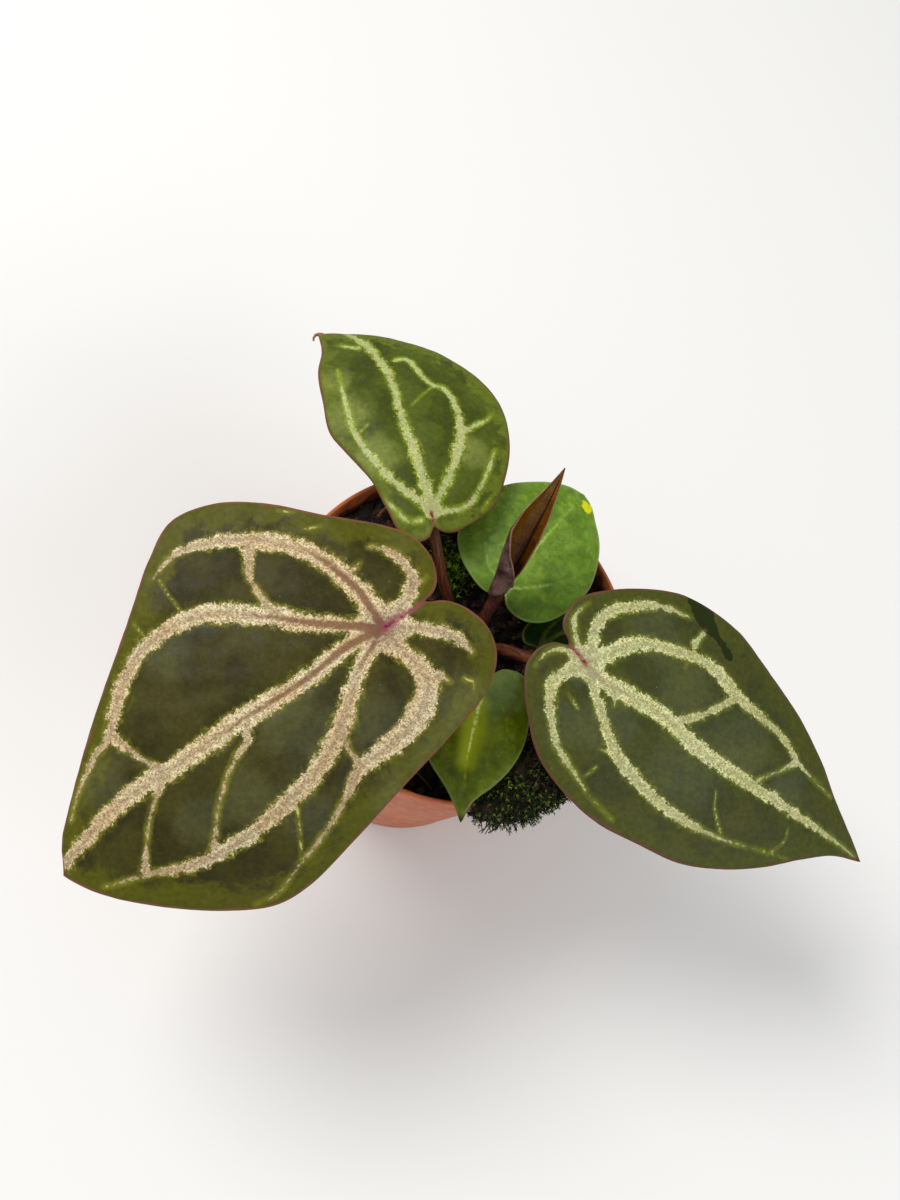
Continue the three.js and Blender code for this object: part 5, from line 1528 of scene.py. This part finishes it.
def makeSoilLitter():
    bark = lumpSkin("barkChip", soil["barkDark"], soil["bark"], 0.9, 0.7)
    crumbs = lumpSkin("soilCrumb", soil["dark"], soil["brown"], 0.5, 0.85)
    grit = lumpSkin("pumiceGrit", soil["gritDark"], soil["grit"], 0.6, 0.8)
    barkShapes = [chunkMesh(f"bark{i}", 40 + i, (1.0, 0.55 + 0.06 * i, 0.32 + 0.03 * i), 7) for i in range(6)]
    crumbShapes = [chunkMesh(f"crumb{i}", 60 + i, (0.5, 0.42, 0.34), 5, 1) for i in range(5)]
    gritShapes = [chunkMesh(f"grit{i}", 80 + i, (0.7, 0.6, 0.5), 4) for i in range(4)]
    settle(scatterOver("barkChips", soilBed, barkShapes, bark, Density=1.5e5, Smallest=0.7, Largest=2.3,
                       Tilt=0.9, Seed=4), "soil_mix")
    settle(scatterOver("soilCrumbs", soilBed, crumbShapes, crumbs, Density=1.0e6, Smallest=0.5, Largest=1.5,
                       Tilt=1.2, Seed=9), "soil_mix")
    settle(scatterOver("pumiceGrit", soilBed, gritShapes, grit, Density=8.0e3, Smallest=0.5, Largest=1.3,
                       Tilt=1.2, Seed=12), "soil_mix")


makeSoilLitter()


# thin roots that lie on the soil: where each starts, its heading in degrees and its length
roots = [
    (-3.0, 28.0, -80, 5), (1.6, 16.6, -50, 5), (-9.2, -29.6, -40, 7), (-14, -27.5, -25, 6),
    (-11, -31.5, 20, 6), (9, 27, -120, 8), (25, 15, 200, 7), (17, -9, 160, 6), (-12, 12, 260, 8),
    (-24, 4, 300, 9), (13, 17, 190, 7), (-4, -21, 330, 7), (28, -8, 120, 7),
]


def makeRoots():
    chance = random.Random(31)
    paths = []
    for x, y, heading, length in roots:
        turn, bend = math.radians(heading), chance.uniform(-0.5, 0.5)
        path = []
        for k in range(6):
            z = float(soilHeight(np.float64(x), np.float64(y))) + 0.35 + 0.7 * math.sin(math.pi * k / 5)
            path.append([x, y, z - (0.9 if k in (0, 5) else 0)])
            x += math.cos(turn) * length / 5
            y += math.sin(turn) * length / 5
            turn += bend * chance.uniform(0.4, 1.2)
        paths.append(path)
    material, tree, surface = startMaterial("rootSkin", Roughness=0.6, Specular_IOR_Level=0.4)
    grain = useGroup(tree, stalkGrain, {"Stretch": 9.0}).outputs
    shade = blendColour(tree, ease(tree, grain["Streak"], 0.3, 0.7), soil["rootDark"], soil["root"])
    paint(tree, surface, shade)
    bump(tree, surface, grain["Streak"], 0.05, 0.6)
    piece = growStalks("soilRoots", paths, material, Radius=0.22 * mm, Foot=0.2, Swelling=0.0, Nose=0.6,
                       Taper=0.5, Wobble=0.4, Spacing=0.3 * mm, Sides=7)
    settle(piece, "soil_mix")


makeRoots()
print("soil litter made")


# stem, its dry sheaths, and the dead stalk at the back

stem = {
    "foot": (3, 0.4, 50), "top": 63.6, "radius": 3.0, "sheathAngles": (80, 164, 240),
    "bark": colour(92, 58, 38), "barkDark": colour(42, 26, 18), "paper": colour(142, 98, 62),
    "paperDark": colour(78, 48, 30), "straw": colour(170, 120, 70), "strawDark": colour(112, 70, 38),
    "dryPath": [[-17.4, 28.6, 61], [-17, 29.2, 66], [-16.3, 29.6, 68.4], [-15.4, 29.8, 70]],
    "hookPath": [[-31.4, 70.2, 76.0], [-32.6, 70.4, 76.0], [-33.5, 69.8, 75.8], [-33.6, 68.6, 75.6]],
}


def fibreSkin(name, light, dark, stretch):
    material, tree, surface = startMaterial(name, Roughness=0.7, Specular_IOR_Level=0.4)
    grain = useGroup(tree, stalkGrain, {"Stretch": stretch}).outputs
    shade = blendColour(tree, ease(tree, grain["Streak"], 0.35, 0.65), dark, light)
    shade = blendColour(tree, times(tree, ease(tree, noise(tree, 1.4, 4, 0.6), 0.5, 0.7), 0.6), shade, dark)
    shade = blendColour(tree, times(tree, grain["Fleck"], 0.5), shade, light)
    paint(tree, surface, shade, patchyRough(tree, 0.8, 0.55, 0.8))
    bump(tree, surface, grain["Streak"], 0.2, 0.8)
    return material


def makeStem():
    x, y, foot = stem["foot"]
    bark = fibreSkin("stemBark", stem["bark"], stem["barkDark"], 3.0)
    path = [[x, y, foot], [x + 0.1, y, 55], [x, y + 0.1, 60], [x, y, stem["top"]]]
    piece = growStalks("stemStub", [path], bark, Radius=stem["radius"] * mm, Foot=0.0, Swelling=0.0,
                       Nose=0.55, Wobble=0.12, Spacing=0.25 * mm, Sides=36)
    settle(piece, "stem_skin", "stem")
    paper = fibreSkin("sheathPaper", stem["paper"], stem["paperDark"], 2.0)
    for k, degrees in enumerate(stem["sheathAngles"]):
        turn = math.radians(degrees)
        out = np.array([math.cos(turn), math.sin(turn), 0])
        side = np.array([-math.sin(turn), math.cos(turn), 0])
        up = np.array([0.0, 0.0, 1.0])
        rows, columns = 34, 19
        t = np.linspace(0, 1, rows)[:, None]
        c = np.linspace(-1, 1, columns)[None, :]
        reach = 2.3 + 1.9 * t ** 1.4
        torn = 1 + 0.12 * np.sin(23 * t + k) * np.abs(c) + 0.08 * np.sin(51 * t + 2 * k)
        half = (2.3 * (1 - t ** 1.8) + 0.12) * torn
        bend = c * half / 2.1
        spots = (np.array([x, y, 56])
                 + (reach + 2.1 * (np.cos(bend) - 1))[..., None] * out
                 + (2.1 * np.sin(bend))[..., None] * side
                 + (9.4 * t + 0 * c + 0.25 * np.sin(5 * c + k) * t)[..., None] * up).reshape(-1, 3)
        verts, allFaces, _, rimIds = thicken(spots, gridFaces(rows, columns), 0.22, 0.06)
        sheath = makePiece(f"sheath{k}", verts, allFaces, (paper,))
        storeSheet(sheath, rimIds, {"station": t + 0 * c, "around": 0.25 * c + 0.5 + 0 * t})
        settle(sheath, "stem_skin")
    straw = fibreSkin("dryStalkSkin", stem["straw"], stem["strawDark"], 6.0)
    dry = growStalks("dryStalk", [stem["dryPath"]], straw, Radius=0.62 * mm, Foot=0.1, Swelling=0.0,
                     Nose=0.3, Taper=0.5, Wobble=0.25, Spacing=0.2 * mm, Sides=12)
    settle(dry, "dry_stalk", "dry_stalk")
    # the top leaf ends in a small dried hook
    hook = growStalks("tipHook", [stem["hookPath"]], straw, Radius=0.5 * mm, Foot=0.2, Swelling=0.0,
                      Nose=0.3, Taper=0.45, Wobble=0.2, Spacing=0.12 * mm, Sides=10)
    settle(hook, "top_leaf")


makeStem()
print("stem made")


# moss

moss = {
    "azimuth": -71, "reach": 33.4, "level": 66, "shoots": (1.5, 19.5),
    "tufts": [(-9.0, (2.6, 2.8, 2.4))],  # place along the rim, and half sizes, in mm
    "hanging": 26, "lying": 18,  # threads
    "deep": colour(8, 12, 4), "mid": colour(26, 38, 10), "tips": colour(112, 136, 36),
    "dead": colour(36, 24, 10),
    "shootDeep": colour(66, 96, 20), "shootMid": colour(110, 150, 34), "shootTips": colour(170, 204, 60),
    "thread": colour(30, 22, 14), "threadPale": colour(70, 54, 32),
}


# a closed sprig: a thin bent stem with pointed leaflets all round it, about 1 mm tall
def sprigMesh(name, seed, leaflets, leafLength, leafWidth, spread):
    chance = random.Random(seed)
    verts, faces, rise = [], [], []

    def spike(foot, tip, width):
        axis = (tip - foot).normalized()
        one = axis.orthogonal().normalized() * width
        two = axis.cross(one)
        first = len(verts)
        for angle in (0, math.tau / 3, 2 * math.tau / 3):
            verts.append(foot + one * math.cos(angle) + two * math.sin(angle))
            rise.append(foot.z)
        verts.append(tip)
        rise.append(foot.z + 0.25)
        for k in range(3):
            faces.append((first + k, first + (k + 1) % 3, first + 3))
        faces.append((first + 2, first + 1, first))

    bend = chance.uniform(0.05, 0.22)
    heading = chance.uniform(0, math.tau)

    def stemAt(t):
        return Vector((bend * t * t * math.cos(heading), bend * t * t * math.sin(heading), t))

    spike(stemAt(0), stemAt(1), 0.035)
    for k in range(leaflets):
        t = 0.12 + 0.86 * (k + 0.5) / leaflets
        turn = 2.4 * k + chance.uniform(-0.3, 0.3)
        lift = 0.35 + 0.9 * t * t
        reach = leafLength * (0.65 + 0.5 * math.sin(math.pi * t)) * chance.uniform(0.8, 1.2)
        out = Vector((math.cos(turn) * spread, math.sin(turn) * spread, lift)).normalized()
        spike(stemAt(t), stemAt(t) + out * reach, leafWidth)
    mesh = bpy.data.meshes.new(name)
    mesh.from_pydata([v * mm for v in verts], [], faces)
    layer = mesh.attributes.new("rise", "FLOAT", "POINT")
    layer.data.foreach_set("value", rise)
    return mesh


def mossSkin(name, deep, mid, tips, dead):
    material, tree, surface = startMaterial(name, Roughness=0.6, Specular_IOR_Level=0.2)
    tone, rise = attribute(tree, "tone"), attribute(tree, "rise")
    shade = blendColour(tree, ease(tree, rise, 0.1, 0.7), deep, mid)
    bright = times(tree, ease(tree, rise, 0.58, 1.1), ease(tree, tone, 0.42, 0.9))
    shade = blendColour(tree, bright, shade, tips)
    shade = blendColour(tree, ease(tree, tone, 0.16, 0.08), shade, dead)
    shade = blendColour(tree, 1.0, shade, ease(tree, noise(tree, 3.5, 3), 0.3, 0.7, 0.6, 1.4), "MULTIPLY")
    paint(tree, surface, shade, patchyRough(tree, 0.5, 0.45, 0.75, 2))
    bump(tree, surface, noise(tree, 0.25, 2), 0.06, 0.6)
    return material


def mossSpot(across, along, up):
    turn = math.radians(moss["azimuth"])
    out = np.array([math.cos(turn), math.sin(turn), 0])
    side = np.array([-math.sin(turn), math.cos(turn), 0])
    return ((moss["reach"] + across) * out + along * side + np.array([0, 0, moss["level"] + up])).tolist()


# one vector for each point of a mesh, as rows
def readVectors(mesh, name):
    values = np.zeros(len(mesh.vertices) * 3)
    mesh.vertices.foreach_get(name, values)
    return values.reshape(-1, 3)


# the cushion's own solid, merged and evened out, is the ground for the sprigs
def makeCushion():
    solid = bpy.data.objects.new("mossGround", frame["nodes"]["moss_cushion"].data.copy())
    solid.matrix_world = frame["nodes"]["moss_cushion"].matrix_world
    scene.collection.objects.link(solid)
    shell = bmesh.new()
    shell.from_mesh(solid.data)
    shell.transform(solid.matrix_world)
    bmesh.ops.remove_doubles(shell, verts=shell.verts, dist=1e-6)
    # a low tuft at its left end closes over the rim
    for along, size in moss["tufts"]:
        tuft = Matrix.Translation(Vector(mossSpot(5.6, along, 3.2)) * mm) @ Matrix.Diagonal((*size, 1))
        bmesh.ops.create_icosphere(shell, subdivisions=3, radius=mm, matrix=tuft)
    shell.to_mesh(solid.data)
    shell.free()
    solid.matrix_world = Matrix.Identity(4)
    even = solid.modifiers.new("even", "REMESH")
    even.mode = "VOXEL"
    even.voxel_size = 0.35 * mm
    even.use_smooth_shade = True
    depsgraph = bpy.context.evaluated_depsgraph_get()
    ground = bpy.data.meshes.new_from_object(solid.evaluated_get(depsgraph))
    bpy.data.objects.remove(solid)
    ground.name = "mossCushion"
    ground.materials.clear()
    skin = mossSkin("mossGroundSkin", moss["thread"], moss["deep"], moss["mid"], moss["dead"])
    ground.materials.append(skin)
    cushion = bpy.data.objects.new("mossCushion", ground)
    scene.collection.objects.link(cushion)
    spots = readVectors(ground, "co") / mm
    normals = readVectors(ground, "normal")
    cover = smoothStep(normals[:, 2], -0.35, 0.1) * smoothStep(spots[:, 2], 62, 65)
    patchy = 0.6 + 0.4 * np.clip(ripple(spots[:, 0], spots[:, 1], 4, 17) + 0.4, 0, 1)
    storeValue(cushion, "cover", cover * patchy)
    settle(cushion, "moss", "moss_cushion")
    return cushion


def makeMossSprigs(cushion):
    sprigs = [sprigMesh(f"sprig{i}", 200 + i, 11, 0.34, 0.055, 0.9) for i in range(6)]
    skin = mossSkin("mossSprigSkin", moss["deep"], moss["mid"], moss["tips"], moss["dead"])
    settle(scatterOver("mossSprigs", cushion, sprigs, skin, Density=2.2e6, Smallest=1.3, Largest=2.7,
                       Tilt=0.55, Upright=0.35, Seed=21), "moss")


# dark threads hang over the rim, a few more lie on the cushion
def makeMossThreads():
    chance = random.Random(77)
    paths = []
    for _ in range(moss["hanging"]):
        along = chance.uniform(-10, 12)
        drop = chance.uniform(2.5, 9.5)
        paths.append([mossSpot(5.8, along, 1.5),
                      mossSpot(8.6, along + chance.uniform(-0.6, 0.6), -0.2 * drop),
                      mossSpot(9.0 + chance.uniform(-0.4, 1.2), along + chance.uniform(-1.6, 1.6), -drop)])
    for _ in range(moss["lying"]):
        across, along = chance.uniform(-5, 6), chance.uniform(-9, 10)
        lift = 9 * math.sqrt(max(0.1, 1 - (across / 10.5) ** 2 - (along / 14) ** 2))
        paths.append([mossSpot(across, along, lift - 0.4), mossSpot(across + 1, along + 0.8, lift + 1.2),
                      mossSpot(across + chance.uniform(0, 3), along + chance.uniform(-2, 2),
                               lift + chance.uniform(0.6, 2))])
    thread = fibreSkin("mossThreadSkin", moss["threadPale"], moss["thread"], 6.0)
    settle(growStalks("mossThreads", paths, thread, Radius=0.24 * mm, Foot=0.2, Swelling=0.0, Nose=0.4,
                      Taper=0.6, Wobble=0.3, Spacing=0.25 * mm, Sides=6), "moss")


# bright shoots on a low pad of their own at the back of the soil
def makeShoots():
    x, y = moss["shoots"]
    rings, segments = 9, 40
    verts = []
    for i in range(rings):
        share = i / (rings - 1)
        for j in range(segments):
            turn = math.tau * j / segments
            reach = 3.3 * share * (1 + 0.12 * math.sin(3 * turn) + 0.08 * math.sin(7 * turn))
            px, py = x + reach * math.cos(turn), y + reach * math.sin(turn)
            z = float(soilHeight(np.float64(px), np.float64(py))) + 1.0 * (1 - share ** 2) - 0.5 * share
            verts.append([px, py, z])
    faces = ringFaces(rings - 1, segments, flipped=True)
    low = len(verts)
    for j in range(segments):
        px, py, z = verts[(rings - 1) * segments + j]
        verts.append([px, py, z - 1.6])
        a, b = (rings - 1) * segments + j, (rings - 1) * segments + (j + 1) % segments
        faces.append((a, low + j, low + (j + 1) % segments, b))
    faces.append(tuple(low + j for j in reversed(range(segments))))
    padSkin = mossSkin("shootPadSkin", moss["thread"], moss["deep"], moss["mid"], moss["dead"])
    pad = makePiece("shootPad", verts, faces, (padSkin,))
    # the first ring's points all lie at the centre
    merged = bmesh.new()
    merged.from_mesh(pad.data)
    bmesh.ops.remove_doubles(merged, verts=merged.verts, dist=1e-7)
    merged.to_mesh(pad.data)
    merged.free()
    storeValue(pad, "cover", np.ones(len(pad.data.vertices)))
    settle(pad, "moss", "moss_shoots")
    shapes = [sprigMesh(f"shoot{i}", 300 + i, 12, 0.3, 0.05, 1.1) for i in range(5)]
    skin = mossSkin("shootSkin", moss["shootDeep"], moss["shootMid"], moss["shootTips"], moss["shootDeep"])
    settle(scatterOver("mossShoots", pad, shapes, skin, Density=9.0e5, Smallest=2.2, Largest=4.4, Tilt=0.7,
                       Upright=0.6, Seed=33), "moss")


makeMossSprigs(makeCushion())
makeMossThreads()
makeShoots()
print("moss made")


# floor and light
studio = {
    "floorHalf": 3, "floor": (0.80, 0.80, 0.79), "sky": (1.0, 1.0, 1.0), "skyPower": 0.5,
    "target": (0, 0, 0.07),
    # place and width in metres, power in watts, tint
    "lamps": {
        "keyLight": ((-0.55, 0.35, 0.95), 0.6, 9.0, (1.0, 0.98, 0.95)),
        "fillLight": ((0.6, -0.7, 0.8), 0.9, 5.0, (0.96, 0.98, 1.0)),
    },
}


def makeStudio():
    half = studio["floorHalf"]
    corners = [(-half, -half, 0), (half, -half, 0), (half, half, 0), (-half, half, 0)]
    material, _, _ = startMaterial("paleFloor", Roughness=0.9, Base_Color=(*studio["floor"], 1.0))
    makePiece("floor", corners, [(0, 1, 2, 3)], (material,), units=1)
    world = bpy.data.worlds.new("studioSky")
    world.use_nodes = True
    sky = world.node_tree.nodes["Background"]
    sky.inputs["Color"].default_value = (*studio["sky"], 1.0)
    sky.inputs["Strength"].default_value = studio["skyPower"]
    scene.world = world
    for name, (spot, size, power, tint) in studio["lamps"].items():
        data = bpy.data.lights.new(name, "AREA")
        data.shape = "DISK"
        data.size = size
        data.energy = power
        data.color = tint
        lamp = bpy.data.objects.new(name, data)
        scene.collection.objects.link(lamp)
        lamp.location = spot
        aim = Vector(studio["target"]) - Vector(spot)
        lamp.rotation_euler = aim.to_track_quat("-Z", "Y").to_euler()
    scene.view_settings.view_transform = "Standard"


makeStudio()
print("studio made")
